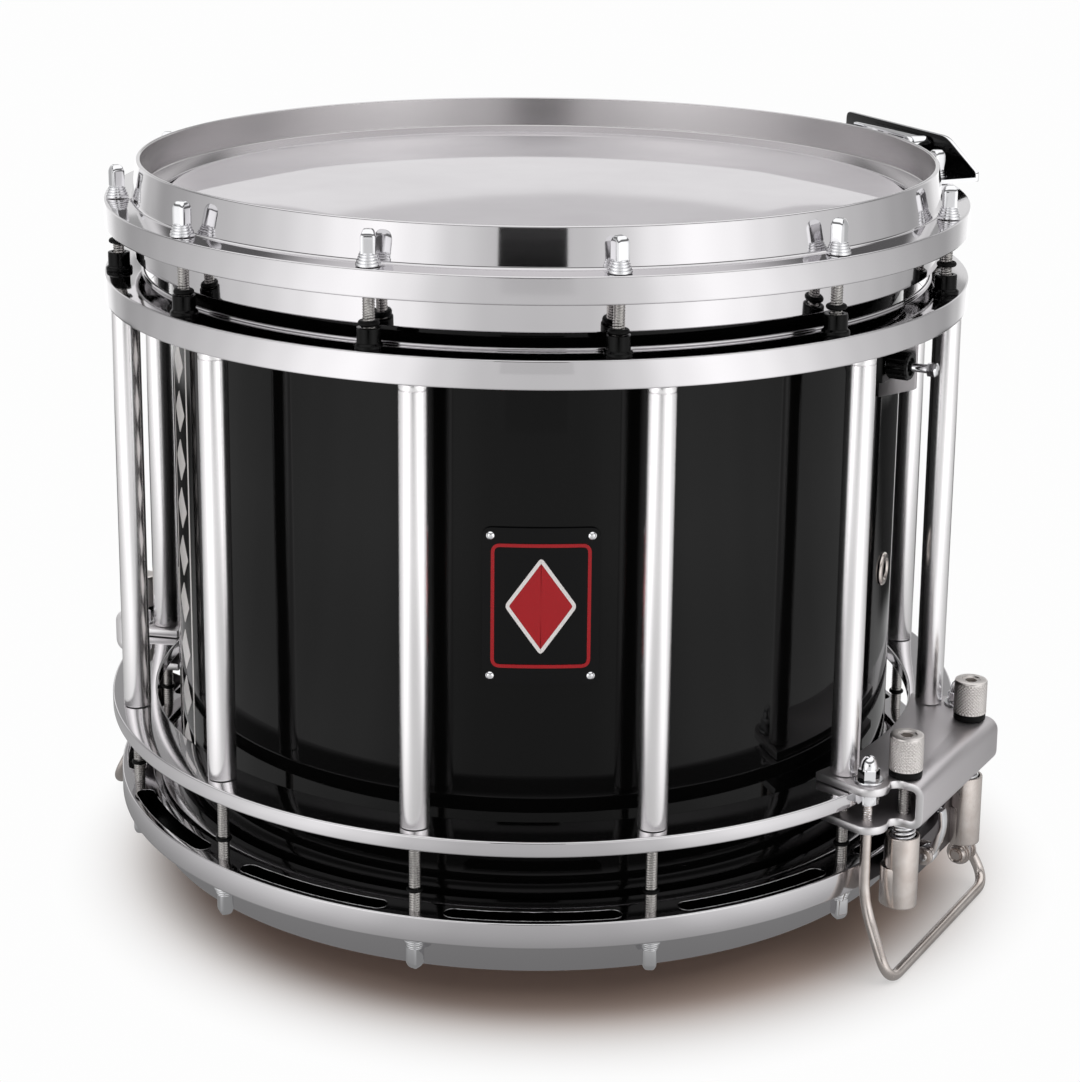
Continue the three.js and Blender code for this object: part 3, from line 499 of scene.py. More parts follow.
def makeShell():
    r, w, low, high = shell["radius"], shell["wall"], shell["low"], shell["high"]
    crest = r - shell["crest"]
    side = w - shell["crest"]
    profile = rounded([[r - w, low + side], [crest, low], [r, low + shell["bevel"]],
                       [r, high - shell["bevel"]], [crest, high], [r - w, high - side]], 0.8)
    body = addPiece("lacquered_shell", turned(profile, 288), ["lacquer", "ply"],
                    stands=["shell"])
    vent, height = shell["ventAngle"], shell["ventHeight"]
    through = [(shell["ventRadius"], height, vent), (shell["shaftRadius"], shell["shaftHeight"], rightSide)]
    bored(body, [placed(outwardsR(disc(radius, r - w - shell["bore"], r + shell["bore"])), angle, z=level)
                 for radius, level, angle in through])
    reach = np.hypot(*faceValues(body, "center")[:, :2].T)
    paintFaces(body, reach < (r - shell["crest"]) * mm)
    eyelet = outwardsR(moved(turned(rounded(shell["eyelet"], 0.4), 48), z=r))
    addPiece("vent_eyelet", placed(eyelet, vent, z=height), "nickel")
    lining = outwardsR(ring(*shell["liningRadii"], r - w, r + shell["liningProud"], 0.2, 40))
    addPiece("vent_lining", placed(lining, vent, z=height), "rubber")


# heights are measured from the rim's edge towards the shell
head = {"plane": 16.5, "film": 0.6, "shoulder": 174.2, "crease": 171.6, "tuck": 1.5,
        "fleshInner": 177.9, "fleshOuter": 185.5, "fleshTop": 20.8, "fleshHeight": 7.7}
rimTop, rimBottom = 350, 20


def fromRim(points, top):
    # heights measured from the rim's edge become heights above the floor
    p = np.array(points, float)
    return np.c_[p[:, 0], rimTop - p[:, 1] if top else rimBottom + p[:, 1]]


def makeHead(top):
    # a film whose radius runs from the axis over the bearing edge and down to its metal flesh hoop
    h = head
    plane, shoulder, inner, high, tuck = h["plane"], h["shoulder"], h["fleshInner"], h["fleshTop"], h["tuck"]
    under, outside = plane + h["film"], inner + h["film"]
    film = [[0, plane], [60, plane], [120, plane], [h["crease"] - 2, plane], [h["crease"], plane + 0.25],
            [shoulder - 0.4, plane + 0.1], [shoulder + 0.6, plane + 0.7], [outside, high],
            [outside, high + tuck], [inner, high + tuck], [inner, high + h["film"]],
            [shoulder, under + 0.2], [shoulder - 1, under], [0, under]]
    low, notch = high + h["fleshHeight"], high + tuck + 0.1
    hoop = rounded([[outside + 0.05, high], [h["fleshOuter"], high], [h["fleshOuter"], low],
                    [inner, low], [inner, notch], [outside + 0.05, notch]], 0.3, 2)
    name = "top" if top else "bottom"
    addPiece(f"{name}_head_film", turned(fromRim(film, top), 256, False), "film",
             stands=[f"{name}_head"])
    addPiece(f"{name}_flesh_hoop", turned(fromRim(hoop, top), 192), "flange")


makeShell()
for isTop in (True, False):
    makeHead(isTop)
print("shell and heads made")


# Counter hoops and rings

tube = {"circle": 196.9, "radius": 6.5, "bore": 5, "high": 284.9, "low": 89.3, "lowOnBracket": 93.6,
        "ferrule": 2.6, "groove": 0.35, "bracketTurn": 16}
hoop = {"inner": 187, "rim": 189, "foot": 191.5, "flange": 204.2, "skirt": 191,
        "flangeDrop": 17.8, "flangeHeight": 12, "skirtDrop": 44, "lipDrop": 15.3, "lipInner": 179,
        "lipSlope": 3.2, "lipThickness": 2, "pocketHalf": 4.4, "pocketTurn": 10, "pocketDepth": 8,
        "pocketEdge": 0.22, "gateHalf": 22, "gateReach": (183, 198), "gateHeights": (32.4, 36)}


def pocketOutline():
    # a slot with round ends along the bolt circle, in x and y
    h = hoop
    middle, half, turn = tube["circle"], h["pocketHalf"], h["pocketTurn"]
    last, first = arc((0, 0), middle, turn - 90, -turn - 90, 1)
    return np.vstack([arc((0, 0), middle + half, -turn - 90, turn - 90, 24)[:-1],
                      arc(last, half, turn - 90, turn + 90, 10)[:-1],
                      arc((0, 0), middle - half, turn - 90, -turn - 90, 24)[:-1],
                      arc(first, half, 90 - turn, 270 - turn, 10)[:-1]])


def makeHoop(top):
    # one turned profile, measured down from the rim's edge; only the top hoop has a skirt under its flange
    h = hoop
    flangeLow = h["flangeDrop"] + h["flangeHeight"]
    lipLow = h["lipDrop"] + h["lipSlope"] + h["lipThickness"]
    skirt = [[h["rim"], h["skirtDrop"]], [h["skirt"], h["skirtDrop"]], [h["foot"], flangeLow]]
    profile = [*(skirt if top else [[h["rim"], flangeLow]]),
               [h["flange"], flangeLow], [h["flange"], h["flangeDrop"]], [h["foot"], h["flangeDrop"]],
               [h["rim"], 0], [h["inner"], 0], [h["inner"], h["lipDrop"]],
               [h["lipInner"], h["lipDrop"] + h["lipSlope"]],
               [h["lipInner"] + 1, lipLow], [h["rim"] - 0.5, lipLow]]
    cuts = [*([0.6, 0.6, 1.2] if top else [0.7]), 0.9, 0.9, 1.4, 0.8, 0.8, 0.8, 0.8, 0.6, 0.6]
    name = "top" if top else "bottom"
    piece = addPiece(f"{name}_counter_hoop", turned(fromRim(rounded(profile, cuts, 4), top), 384),
                     ["hoop", "flange", "inside", "black"], stands=[f"{name}_hoop"])
    face = rimBottom + flangeLow
    if not top:
        makeOpenings(piece, face)
    centre = faceValues(piece, "center") / mm
    reach, height = np.hypot(*centre[:, :2].T), centre[:, 2]
    finishes = (reach > h["flange"] - 1).astype(int)
    finishes[reach < h["inner"] + 0.2] = 2
    finishes[reach < h["inner"] - 0.6] = 1
    # the pockets' walls and floors take the black coat as painted shade, standing in for the dark of the
    # recesses
    if not top:
        floor = face - h["pocketDepth"]
        pocketPaintedShade = (abs(reach - tube["circle"]) < h["pocketHalf"] + 0.02) & (height > floor - 0.1)
        finishes[pocketPaintedShade & (height < face - 0.05)] = 3
    paintFaces(piece, finishes)


def makeOpenings(piece, face):
    # the bottom hoop's two gates for the snares and the twelve pockets in its flange, with their bright edges
    h, outline = hoop, pocketOutline()
    inner, outer = h["gateReach"]
    gate = block(h["gateHalf"], -outer, -inner, *h["gateHeights"])
    pocket = prism(outline, face - h["pocketDepth"], face + 3)
    turns = 30 * np.arange(12)
    bored(piece, [spun(gate, rightSide), spun(gate, leftSide), *[spun(pocket, turn) for turn in turns]])
    edge = loopAlong(np.c_[outline, np.full(len(outline), face - h["pocketEdge"] / 2)], h["pocketEdge"])
    addPiece("bottom_flange_pocket_edges", joined(*[spun(edge, turn) for turn in turns]), "hoop",
             crease=60)


frameRing = {"inner": 186, "upperOuter": 204.9, "upperLow": 285.2, "upperHigh": 297.8,
             "lowerOuter": 207.6, "lowerLow": 81.8, "lowerHigh": 89.0, "bead": 0.9, "beadRise": 0.4,
             "boltCircle": 198.0, "sleeveRadius": 5.1, "sleeveHigh": 306.8, "sleeveInner": 3.2,
             "footRadius": 6.2, "footHigh": 299.6, "footSlope": 0.8}


def makeRings():
    f = frameRing
    for name, edge in (("upper", 0.8), ("lower", 1.0)):
        inner, outer, low, high = f["inner"], f[f"{name}Outer"], f[f"{name}Low"], f[f"{name}High"]
        addPiece(f"{name}_frame_ring", ring(inner, outer, low, high, edge, 384, 4), "hoop",
                 stands=[f"{name}_ring"])
    top = f["upperHigh"]
    bead = torus(f["inner"] + f["bead"], f["bead"], top + f["beadRise"], 384)
    addPiece("upper_ring_bead", bead, "hoop")
    inner, outer, foot, high = f["sleeveInner"], f["sleeveRadius"], f["footHigh"], f["sleeveHigh"]
    sleeve = turned(rounded([[inner, top], [f["footRadius"], top], [f["footRadius"], foot],
                             [outer, foot + f["footSlope"]], [outer, high], [inner, high]], 0.35, 2), 28)
    sleeves = [placed(sleeve, angle, f["boltCircle"]) for angle in topBoltAngles]
    addPiece("rod_receivers", joined(*sleeves), "black")


for isTop in (True, False):
    makeHoop(isTop)
makeRings()
print("hoops and rings made")


# Frame tubes

def makeTubes():
    t = tube
    for i, angle in enumerate(tubeAngles):
        onBracket = abs((angle - rightSide + 90) % 180 - 90) < t["bracketTurn"]
        low = t["lowOnBracket"] if onBracket else t["low"]
        mark = t["high"] - t["ferrule"]
        profile = rounded([[t["bore"], low], [t["radius"], low], [t["radius"], mark - 0.4],
                           [t["radius"] - t["groove"], mark - 0.2], [t["radius"], mark],
                           [t["radius"], t["high"]], [t["bore"], t["high"]]],
                          [0.3, 0.5, 0.15, 0.1, 0.15, 0.5, 0.3], 2)
        addPiece(numbered("support_tube", i), placed(turned(profile, 64), angle, t["circle"]), "tube",
                 stands=[numbered("frame_tube", i)])


makeTubes()
print("tubes made")


# Tension bolts

# measured up from the seat, steps of the collar are radius, low and high, and levels of the key are half its
# width and height; each top rod's rubber ring has its own height
bolt = {"rod": 2.7, "threadDepth": 0.35, "pitch": 1.15,
        "topSeat": 332.2, "topRod": 43.4, "bottomSeat": 37.8, "bottomRod": 65.2, "keyTurn": 20,
        "steps": [(5.3, 0.3, 1.5), (4.95, 1.75, 2.75), (4.4, 3.0, 3.95), (4.05, 4.2, 5.05), (3.6, 5.3, 5.9)],
        "key": [(0, 5.5), (3.15, 5.5), (3.15, 12.4), (3.03, 13.1), (2.7, 14.0), (2.2, 14.9), (1.7, 15.35),
                (1.0, 15.5), (0, 15.5)],
        "topRing": (3.35, 1.2), "bottomRing": (2.75, 0.95), "bottomRingHeight": 59.4,
        "topRingHeights": [308.2, 309.8, 311.6, 310, 309, 311, 308.6, 310.4, 309.2, 312, 308.2, 308.6]}


def boltHead():
    # washer and collar in rounded steps under a square key with eased corners, seat at z = 0
    b = bolt
    steps = [[0, 0.3]]
    for outer, low, high in b["steps"]:
        steps += [[outer, low], [outer, high], [outer - 0.75, high + 0.05]]
    steps += [[3.0, 6.0], [0, 6.0]]
    stack = turned(rounded(steps, [0] + [0.22] * (len(steps) - 2) + [0], 3), 48, False)
    return joined(stack, spun(squareLoft(b["key"]), b["keyTurn"]))


def makeBolts():
    b = bolt
    headShape = boltHead()
    circles = {"top": frameRing["boltCircle"], "bottom": tube["circle"]}
    for i in range(12):
        angles = {"top": topBoltAngles[i], "bottom": tubeAngles[i]}
        heights = {"top": b["topRingHeights"][i], "bottom": b["bottomRingHeight"]}
        for end, circle in circles.items():
            node, seat = numbered(f"{end}_tension_bolt", i), b[f"{end}Seat"]
            rod = threaded(b["rod"], b["threadDepth"], b["pitch"], -b[f"{end}Rod"], 0.6)
            for name, shape, metal, stands in (("key_bolt", headShape, "chrome", [node]),
                                               ("bolt_rod", rod, "thread", [])):
                shape = moved(shape, z=seat) if end == "top" else flipped(shape, seat)
                addPiece(numbered(f"{end}_{name}", i), placed(shape, angles[end], circle), metal,
                         node, stands)
        for end, circle in circles.items():
            rubber = placed(torus(*b[f"{end}Ring"], heights[end]), angles[end], circle)
            addPiece(numbered(f"{end}_rubber_ring", i), rubber, "rubber")


makeBolts()
print("bolts made")


# Brackets, in a frame with t along the drum's side and r outwards, which is local -y

bracket = {"top": 93.3, "sheet": 4, "bottom": 71.3, "reach": 227, "half": 47.463, "bend": 6, "overlap": 2,
           "inner": 187.5, "innerAcross": 56.96, "earAcross": 54.963, "earReach": 203.5, "earRadius": 9.5,
           "earEnd": 118, "waistInset": 2, "waistSetback": 12.5, "knobAcross": 39.963, "knobReach": 215,
           "braceTop": [(212, 71.5), (200, 71.5), (200.6, 62)], "braceOuter": (214.2, 48),
           "braceStart": 48.16, "braceThickness": 2.8,
           "pivotReach": 210.9, "pivotHeight": 21, "pivotRadius": 5}


def flangeOutline():
    # the flange's outline in t and -r: the arc along the shell, two ears and the straight seam with the bend
    b = bracket
    halfTurn = math.degrees(math.asin(b["innerAcross"] / b["inner"]))
    neck = b["reach"] - b["bend"] - b["overlap"]
    end = b["earEnd"]
    waist = np.array([b["half"] - b["waistInset"], -(b["reach"] - b["waistSetback"])])
    ear = arc((b["earAcross"], -b["earReach"]), b["earRadius"], 0, -end, 14)
    curve = bent(ear[-1], waist, np.array([b["half"], -neck]), np.linspace(0, 1, 8)[:, None])
    half = np.vstack([ear, curve[1:]])
    inner = arc((0, 0), b["inner"], -90 - halfTurn, -90 + halfTurn, 36)
    return np.vstack([inner, half, half[::-1] * [-1, 1]])


def bentChannel():
    # the bend's section in r and z swept along t, closed at both ends, meeting each flange edge to edge
    b = bracket
    centre, neck = b["reach"] - b["bend"], b["reach"] - b["bend"] - b["overlap"]
    low, high, sheet, half = b["bottom"], b["top"], b["sheet"], b["half"]

    def section(edge, radius, start, end, turns):
        corners = [arc((centre, z), radius, *turn, 8) for z, turn in zip((start, end), turns)]
        return np.vstack([[[neck, edge[0]]], *corners, [[neck, edge[1]]]])

    def across(path, t):
        return np.c_[np.full(len(path), t), -path[:, 0], path[:, 1]]
    below, above = low + b["bend"], high - b["bend"]
    outer = section((low, high), b["bend"], below, above, ((-90, 0), (0, 90)))
    inside = section((high - sheet, low + sheet), b["bend"] - sheet, above, below, ((90, 0), (0, -90)))
    pairs = [(across(path, -half), across(path, half)) for path in (outer, inside)]
    pairs += [(across(outer, t), across(inside[::-1], t)) for t in (-half, half)]
    return joined(*[(np.vstack(pair), gridFaces(2, len(pair[0]))) for pair in pairs])


def plateSides(outline, low, high, openEdge):
    # a flange without the wall of its seam edge, which the bend closes
    n = len(outline)
    points = np.vstack([np.c_[outline, np.full(n, low)], np.c_[outline, np.full(n, high)]])
    walls = [face for i, face in enumerate(gridFaces(2, n, False, True)) if i != openEdge]
    return points, walls + [list(range(n)), list(range(n, 2 * n))]


def cutEdges(plate, angle):
    # the second material goes to the faces along the sheet's edge, its sawn outline and the bend's two ends
    centre, normal = [spun((faceValues(plate, name), None), -angle)[0] for name in ("center", "normal")]
    outline = (abs(normal[:, 2]) < 0.8) & (-centre[:, 1] < (bracket["reach"] - bracket["bend"] - 1) * mm)
    paintFaces(plate, outline | (abs(normal[:, 0]) > 0.45))


def bracePlate():
    # a plate that hangs under the flange in r and z, its foot round about the pivot screw
    b = bracket
    foot = arc((b["pivotReach"], b["pivotHeight"]), b["pivotRadius"], 180, 360, 16)
    return np.vstack([b["braceTop"], foot, [b["braceOuter"]]])


def makeBracket(name, angle):
    b = bracket
    outline = flangeOutline()
    seamEnd = [b["half"], b["bend"] + b["overlap"] - b["reach"]]
    seam = next(i for i in range(len(outline)) if np.allclose(outline[i], seamEnd, atol=0.01))
    flanges = [plateSides(outline, low, low + b["sheet"], seam)
               for low in (b["bottom"], b["top"] - b["sheet"])]
    body = joined(*flanges, bentChannel())
    plate = addPiece(f"{name}_bracket_plate", spun(body, angle), ["plate", "edge"],
                     stands=[f"{name}_bracket"], bevel=0.7)
    cutEdges(plate, angle)
    brace = sheetAcross(bracePlate(), b["braceStart"], b["braceThickness"])
    addPiece(f"{name}_bracket_brace", spun(brace, angle), "plate", bevel=0.5)
    makePivotScrew(name, angle)


# stud and washers are radius, start and end along t, and levels of the head are radius, place and round
pivotScrew = {"stud": (2.4, 50.4, 56.2),
              "washers": [(5.6, 51.1, 52.0), (6.6, 52.2, 53.4), (6.0, 46.3, 47.2), (5.2, 45.0, 46.0)],
              "head": [(0, 42.2, 1), (2.0, 42.2, 1), (2.0, 43.4, 0), (2.6, 43.4, 1), (3.6, 42.6, 1),
                       (4.3, 43.2, 1), (4.5, 44.6, 1), (3.4, 44.9, 1), (2.6, 47.9, 1), (0, 47.9, 1)]}


def makePivotScrew(name, angle):
    # the screw that clips the far leg of the wire: round head, a stack of washers and a stud along t
    v = pivotScrew
    stack = [ring(v["stud"][0], *washer, 0.3) for washer in v["washers"]]
    screw = alongT(joined(disc(*v["stud"], 0.2), *stack, hexLoft(v["head"])))
    addPiece(f"{name}_pivot_screw", placed(screw, angle, bracket["pivotReach"], z=bracket["pivotHeight"]),
             "nickel")


# washer is inner and outer radius, low and high, thread is radius, depth, pitch, low and high, and levels of
# the nuts are half their width, height and round
wire = {"radius": 2.5, "knee": 36, "splayAcross": 7, "splayReach": 16.28, "bend": 12, "top": 102.3,
        "lift": 0.01, "washer": (2.6, 6.6, 93.4, 94.5), "thread": (2.62, 0.3, 1.0, 75.4, 83.6),
        "acorn": [(0, 94.6, 1), (4.3, 94.6, 0), (4.3, 99.4, 0), (3.9, 99.8, 1), (3.7, 101.6, 1),
                  (3.1, 103.6, 1), (2.0, 105.0, 1), (0.9, 105.5, 1), (0, 105.5, 1)],
        "nut": [(0, 83.6, 1), (5.2, 83.6, 1), (5.2, 84.2, 0), (5.2, 88.6, 0), (5.2, 89.2, 1), (0, 89.2, 1)]}


def makeWire(name, angle):
    # one round rod down the front leg, out to the floor, across and back up, bent at its four corners
    b, w = bracket, wire
    x, y, r = b["earAcross"], -b["earReach"], w["radius"]
    far, out, low = x + w["splayAcross"], y - w["splayReach"], r + w["lift"]
    corners = np.array([[-x, y, w["top"]], [-x, y, w["knee"]], [-far, out, low],
                        [far, out, low], [x, y, w["knee"]], [x, y, w["top"]]], float)
    middle = corners[1:-1]
    before, after = corners[:-2] - middle, corners[2:] - middle
    a = middle + before / np.linalg.norm(before, axis=1, keepdims=True) * w["bend"]
    c = middle + after / np.linalg.norm(after, axis=1, keepdims=True) * w["bend"]
    bends = bent(a[:, None], middle[:, None], c[:, None], np.linspace(0, 1, 13)[None, :, None])
    path = np.vstack([corners[:1], bends.reshape(-1, 3), corners[-1:]])
    addPiece(f"{name}_foot_rod", spun(alongPath(path, r, 20, (0, 1, 0.01)), angle), "nickel",
             stands=[f"{name}_foot_wire"], crease=60)
    shapes = [hexLoft(w["acorn"]), ring(*w["washer"], 0.3), hexLoft(w["nut"]), threaded(*w["thread"])]
    nuts = [moved(shape, x=end * x, y=y) for end in (-1, 1) for shape in shapes]
    addPiece(f"{name}_wire_nuts", spun(joined(*nuts), angle), "chrome")


knob = {"radius": 7.75, "low": 96.6, "high": 113.1, "collar": 7.5, "collarLow": 93.6, "screw": 3,
        "screwLow": 44, "threadDepth": 0.35, "pitch": 1.2, "socket": 2.5, "socketDepth": 5,
        "knurlDepth": 0.4, "knurls": 30, "knurlPitch": 1.6}


def knurledGrip():
    # the wall's radius is R - d (1 - |sin(n a + k z)| |sin(n a - k z)|), two sets of grooves that cross
    k = knob
    high, r, deep, a = k["high"], k["radius"], k["high"] - k["socketDepth"], roundAngles(216)
    z = np.linspace(k["low"] + 0.9, high - 1.6, 44)[:, None]
    turns, rise = k["knurls"] / 2 * a, np.pi * z / k["knurlPitch"]
    wall = r - k["knurlDepth"] * (1 - np.abs(np.sin(turns + rise)) * np.abs(np.sin(turns - rise)))
    hexagon = k["socket"] / np.cos(np.mod(a, np.pi / 3) - np.pi / 6)
    flat = 0 * a
    low = [(flat, k["low"]), (flat + r - 0.5, k["low"]), (flat + r - 0.05, k["low"] + 0.45)]
    top = [(flat + r - 0.12, high - 1.1), (flat + r - 0.12, high - 0.8), (flat + r - 0.35, high - 0.3),
           (flat + r - 1.0, high), (flat + 4.4, high), (flat + 4.1, high - 0.5), (hexagon * 1.02, high - 0.6),
           (hexagon, high - 0.9), (hexagon, deep), (flat, deep - 0.8)]
    radius = np.vstack([row for row, _ in low] + [wall] + [row for row, _ in top])
    height = np.array([level for _, level in low] + z[:, 0].tolist() + [level for _, level in top])[:, None]
    return surface(radius * np.cos(a), radius * np.sin(a), height)


def makeKnobs(name, angle, front):
    k, across = knob, front * bracket["knobAcross"]
    low, high = k["collarLow"], k["low"] - 0.05
    screw = threaded(k["screw"], k["threadDepth"], k["pitch"], k["screwLow"], low)
    collar = disc(k["collar"], low, high, 0.5, 48, 3)
    for end, t in (("front", across), ("rear", -across)):
        node = f"{name}_{end}_height_knob"
        for label, shape, material, slot, stands in (
                ("grip", knurledGrip(), "knob", "satin_aluminium", [node]),
                ("screw", screw, "thread", "nickel_steel", []),
                ("collar", collar, "rubber", "black_rubber", [])):
            shape = placed(shape, angle, bracket["knobReach"], t)
            addPiece(f"{name}_{end}_knob_{label}", shape, material, node, stands)


carriage = {"barrel": 7.75, "low": 31, "high": 65, "barInner": 206, "barOuter": 211, "barHigh": 60,
            "waistHalf": 14, "waistHigh": 48, "linkHalf": 6, "cupHalf": 7.7, "cupHigh": 50, "bore": 3.6,
            "openHalf": 3.8, "heel": 7.5, "heelCentre": 212.9, "cup": 6.5, "cupFloor": 56.5,
            "liner": (6.15, 6.52, 56.5, 64.3)}
# the spring starts far enough above the cup's floor for the carriage to rise to its limit under it
spring = {"radius": 5.1, "wire": 0.75, "turns": 3.25, "low": 62.9, "high": 70.1,
          "washer": (3.4, 6.6, 70.3, 71.2)}


def makeCarriage(name, angle, withLever):
    b, c = bracket, carriage
    body = f"{name}_snare_carriage"
    across = b["knobAcross"]
    barrel = turned(rounded([[c["bore"], c["low"]], [c["barrel"], c["low"]], [c["barrel"], c["high"]],
                             [c["cup"], c["high"]], [c["cup"], c["cupFloor"]], [c["bore"], c["cupFloor"]]],
                            [0.4, 0.9, 0.45, 0.3, 0.3, 0.3], 4), 72)
    liner = ring(*c["liner"], 0.1, 48)
    ends = [end * across for end in (-1, 1)]
    for label, shape, material in (("barrels", barrel, "nickel"), ("liners", liner, "rubber")):
        both = joined(*[moved(shape, x=x, y=-b["knobReach"]) for x in ends])
        addPiece(f"{name}_carriage_{label}", spun(both, angle), material, body,
                 [body] if label == "barrels" else [])
    shoulder = across - c["linkHalf"]
    bar = sheetOutwards(rounded([[-across, c["low"]], [across, c["low"]], [across, c["barHigh"]],
                                 [shoulder, c["barHigh"]], [c["waistHalf"], c["waistHigh"]],
                                 [-c["waistHalf"], c["waistHigh"]], [-shoulder, c["barHigh"]],
                                 [-across, c["barHigh"]]], [1, 1, 1, 3, 5, 5, 3, 1], 5),
                        c["barInner"], c["barOuter"] - c["barInner"])
    addPiece(f"{name}_carriage_bar", spun(bar, angle), "darkened", body, bevel=0.6)
    # each barrel's foot is a block with a round heel behind the bar, open round the screw
    inner, reach = c["barOuter"] - 0.4, b["knobReach"]
    links = []
    blocks = ((c["cupHalf"], c["low"] + 0.5, c["cupHigh"]),
              (c["linkHalf"], c["cupHigh"] - 0.5, c["barHigh"] - 0.5))
    for x in ends:
        for side in (-1, 1):
            far = x + side * c["openHalf"]
            for near, low, high in blocks:
                edge = x + side * near
                links.append(prism([[edge, -inner], [edge, -reach], [far, -reach], [far, -inner]], low, high))
        heel = arc((x, -c["heelCentre"]), c["heel"], 18, 162, 24)
        links.append(prism(heel, c["low"] + 0.5, c["cupHigh"]))
    addPiece(f"{name}_carriage_links", spun(joined(*links), angle), "nickel", body, bevel=0.4)
    p, steps = spring, 140
    turn = np.linspace(0, 2 * np.pi * p["turns"], steps)
    coil = np.stack([p["radius"] * np.sin(turn), -p["radius"] * np.cos(turn),
                     np.linspace(p["low"], p["high"], steps)], 1)
    shapes = [alongPath(coil, p["wire"], 12), ring(*p["washer"], 0.25)]
    springs = [moved(shape, x=x, y=-reach) for x in ends for shape in shapes]
    addPiece(f"{name}_height_springs", spun(joined(*springs), angle), "chrome", crease=60)
    if withLever:
        makeLever(angle)


# start, middle and end of the arm's two faces are measured outwards and upwards from the pin
lever = {"place": -10, "half": 2.5, "pinReach": 216.05, "pinHeight": 44, "pin": 1.8, "pinEnd": 3.4,
         "lug": 4, "lugThickness": 2.5, "lugStart": 210.8, "gap": 0.3, "eye": (2.2, 4.2),
         "outerFace": [(3.6, 0), (10.1, 13), (7, 23)], "innerFace": [(0, 3), (7.5, 13), (4.4, 23)]}


def makeLever(angle):
    v = lever
    pin, half, place = np.array([v["pinReach"], v["pinHeight"]]), v["half"], v["place"]
    reach, height, lug, thick = *pin, v["lug"], v["lugThickness"]
    outline = np.vstack([[[v["lugStart"], height + lug]], [[v["lugStart"], height - lug]],
                         arc(pin, lug, -90, 90, 14)])
    starts = (place - half - v["gap"] - thick, place + half + v["gap"])
    lugs = [sheetAcross(outline, start, thick) for start in starts]
    body = "right_snare_carriage"
    addPiece("release_lever_lugs", spun(joined(*lugs), angle), "nickel", body, bevel=0.35)
    rod = alongT(disc(v["pin"], place - half - v["pinEnd"], place + half + v["pinEnd"], 0.4))
    addPiece("release_lever_pin", placed(rod, angle, reach, z=height), "chrome", body)
    t = np.linspace(0, 1, 15)[:, None]
    outerCurve, innerCurve = [bent(*(pin + np.array(v[face])), t) for face in ("outerFace", "innerFace")]
    arm = sheetAcross(np.vstack([outerCurve, innerCurve[::-1]]), place - half, 2 * half)
    eye = moved(alongT(ring(*v["eye"], place - half, place + half, 0.3)), y=-reach, z=height)
    addPiece("release_lever_arm", spun(joined(arm, eye), angle), "chrome", "snare_release_lever",
             ["snare_release_lever"], bevel=0.45)


for sideName, sideAngle, frontEnd in (("right", rightSide, -1), ("left", leftSide, 1)):
    makeBracket(sideName, sideAngle)
    makeWire(sideName, sideAngle)
    makeKnobs(sideName, sideAngle, frontEnd)
    makeCarriage(sideName, sideAngle, sideName == "right")
print("brackets, wires, knobs and carriages made")


# Snares

snare = {"width": 40, "strands": 10, "radius": 0.8, "screw": 1.7, "screwRise": 0.7, "screwAcross": 12}
bottomSnares = {"height": 34.2, "inner": 199.5, "outer": 205.7, "low": 32, "high": 36.4}
topSnares = {"height": 330.3, "inner": 160, "outer": 165, "low": 327.8, "high": 331.1,
             "footHalf": 4, "foot": (165.2, 168.3)}


def makeSnares(name, node, place):
    n, p = snare, place
    half, r = n["width"] / 2, n["radius"]
    inner, outer, low, high = p["inner"], p["outer"], p["low"], p["high"]
    grip = (inner + outer) / 2
    reach = np.linspace(-grip, grip, 9)
    strands = [alongPath(np.c_[np.full(9, t), -reach, np.full(9, p["height"])], r, 10)
               for t in np.linspace(2 * r - half, half - 2 * r, n["strands"])]
    addPiece(f"{name}_strands", spun(joined(*strands), rightSide), "strand", stands=[node])
    clamps = [block(half, side * inner, side * outer, low, high) for side in (-1, 1)]
    if "foot" in p:
        clamps.append(block(p["footHalf"], *p["foot"], low, p["height"]))
    addPiece(f"{name}_clamps", spun(joined(*clamps), rightSide), "chrome", bevel=0.5)
    if "foot" not in p:
        screw = disc(n["screw"], high, high + n["screwRise"], 0.25, 20)
        screws = [moved(screw, x=t * n["screwAcross"], y=side * grip) for side in (-1, 1) for t in (-1, 1)]
        addPiece(f"{name}_clamp_screws", spun(joined(*screws), rightSide), "chrome")


makeSnares("bottom_snare", "bottom_snares", bottomSnares)
makeSnares("top_snare", "top_snares", topSnares)
print("snares made")


# Top snare strainer

# outlines are measured from the shaft's axis; shaft and axle are radius, start and end, levels of the tip are
# radius, place and round, and those of the knob are radius, place and whether the grooves cut it
strainer = {"height": 270, "start": 175.3, "house": 182,
            "plate": [(0, -18), (17.7, -12), (17.7, 13), (0, 13)], "plateStart": 6.5, "plateThickness": 2.5,
            "housing": (-6, 7.5, 8), "shaft": (3, 160.4, 182.6),
            "armHalf": 4, "armInner": 160, "armOuter": 165, "armTop": 327.4, "axle": (2, 182, 202.5),
            "tip": [(0, 201.6, 1), (2.9, 201.6, 0), (2.9, 205.0, 0), (2.4, 205.7, 1), (1.6, 206, 1),
                    (0, 206, 1)],
            "knob": [(2.5, 183.2, 0), (5.8, 183.2, 0), (6.4, 183.9, 1), (6.4, 192.3, 1), (5.7, 193.2, 0),
                     (4.2, 193.2, 0), (3.9, 192.2, 0), (2.5, 192.2, 0)],
            "grooves": 12, "grooveDepth": 0.35, "grooveStart": 0.55}


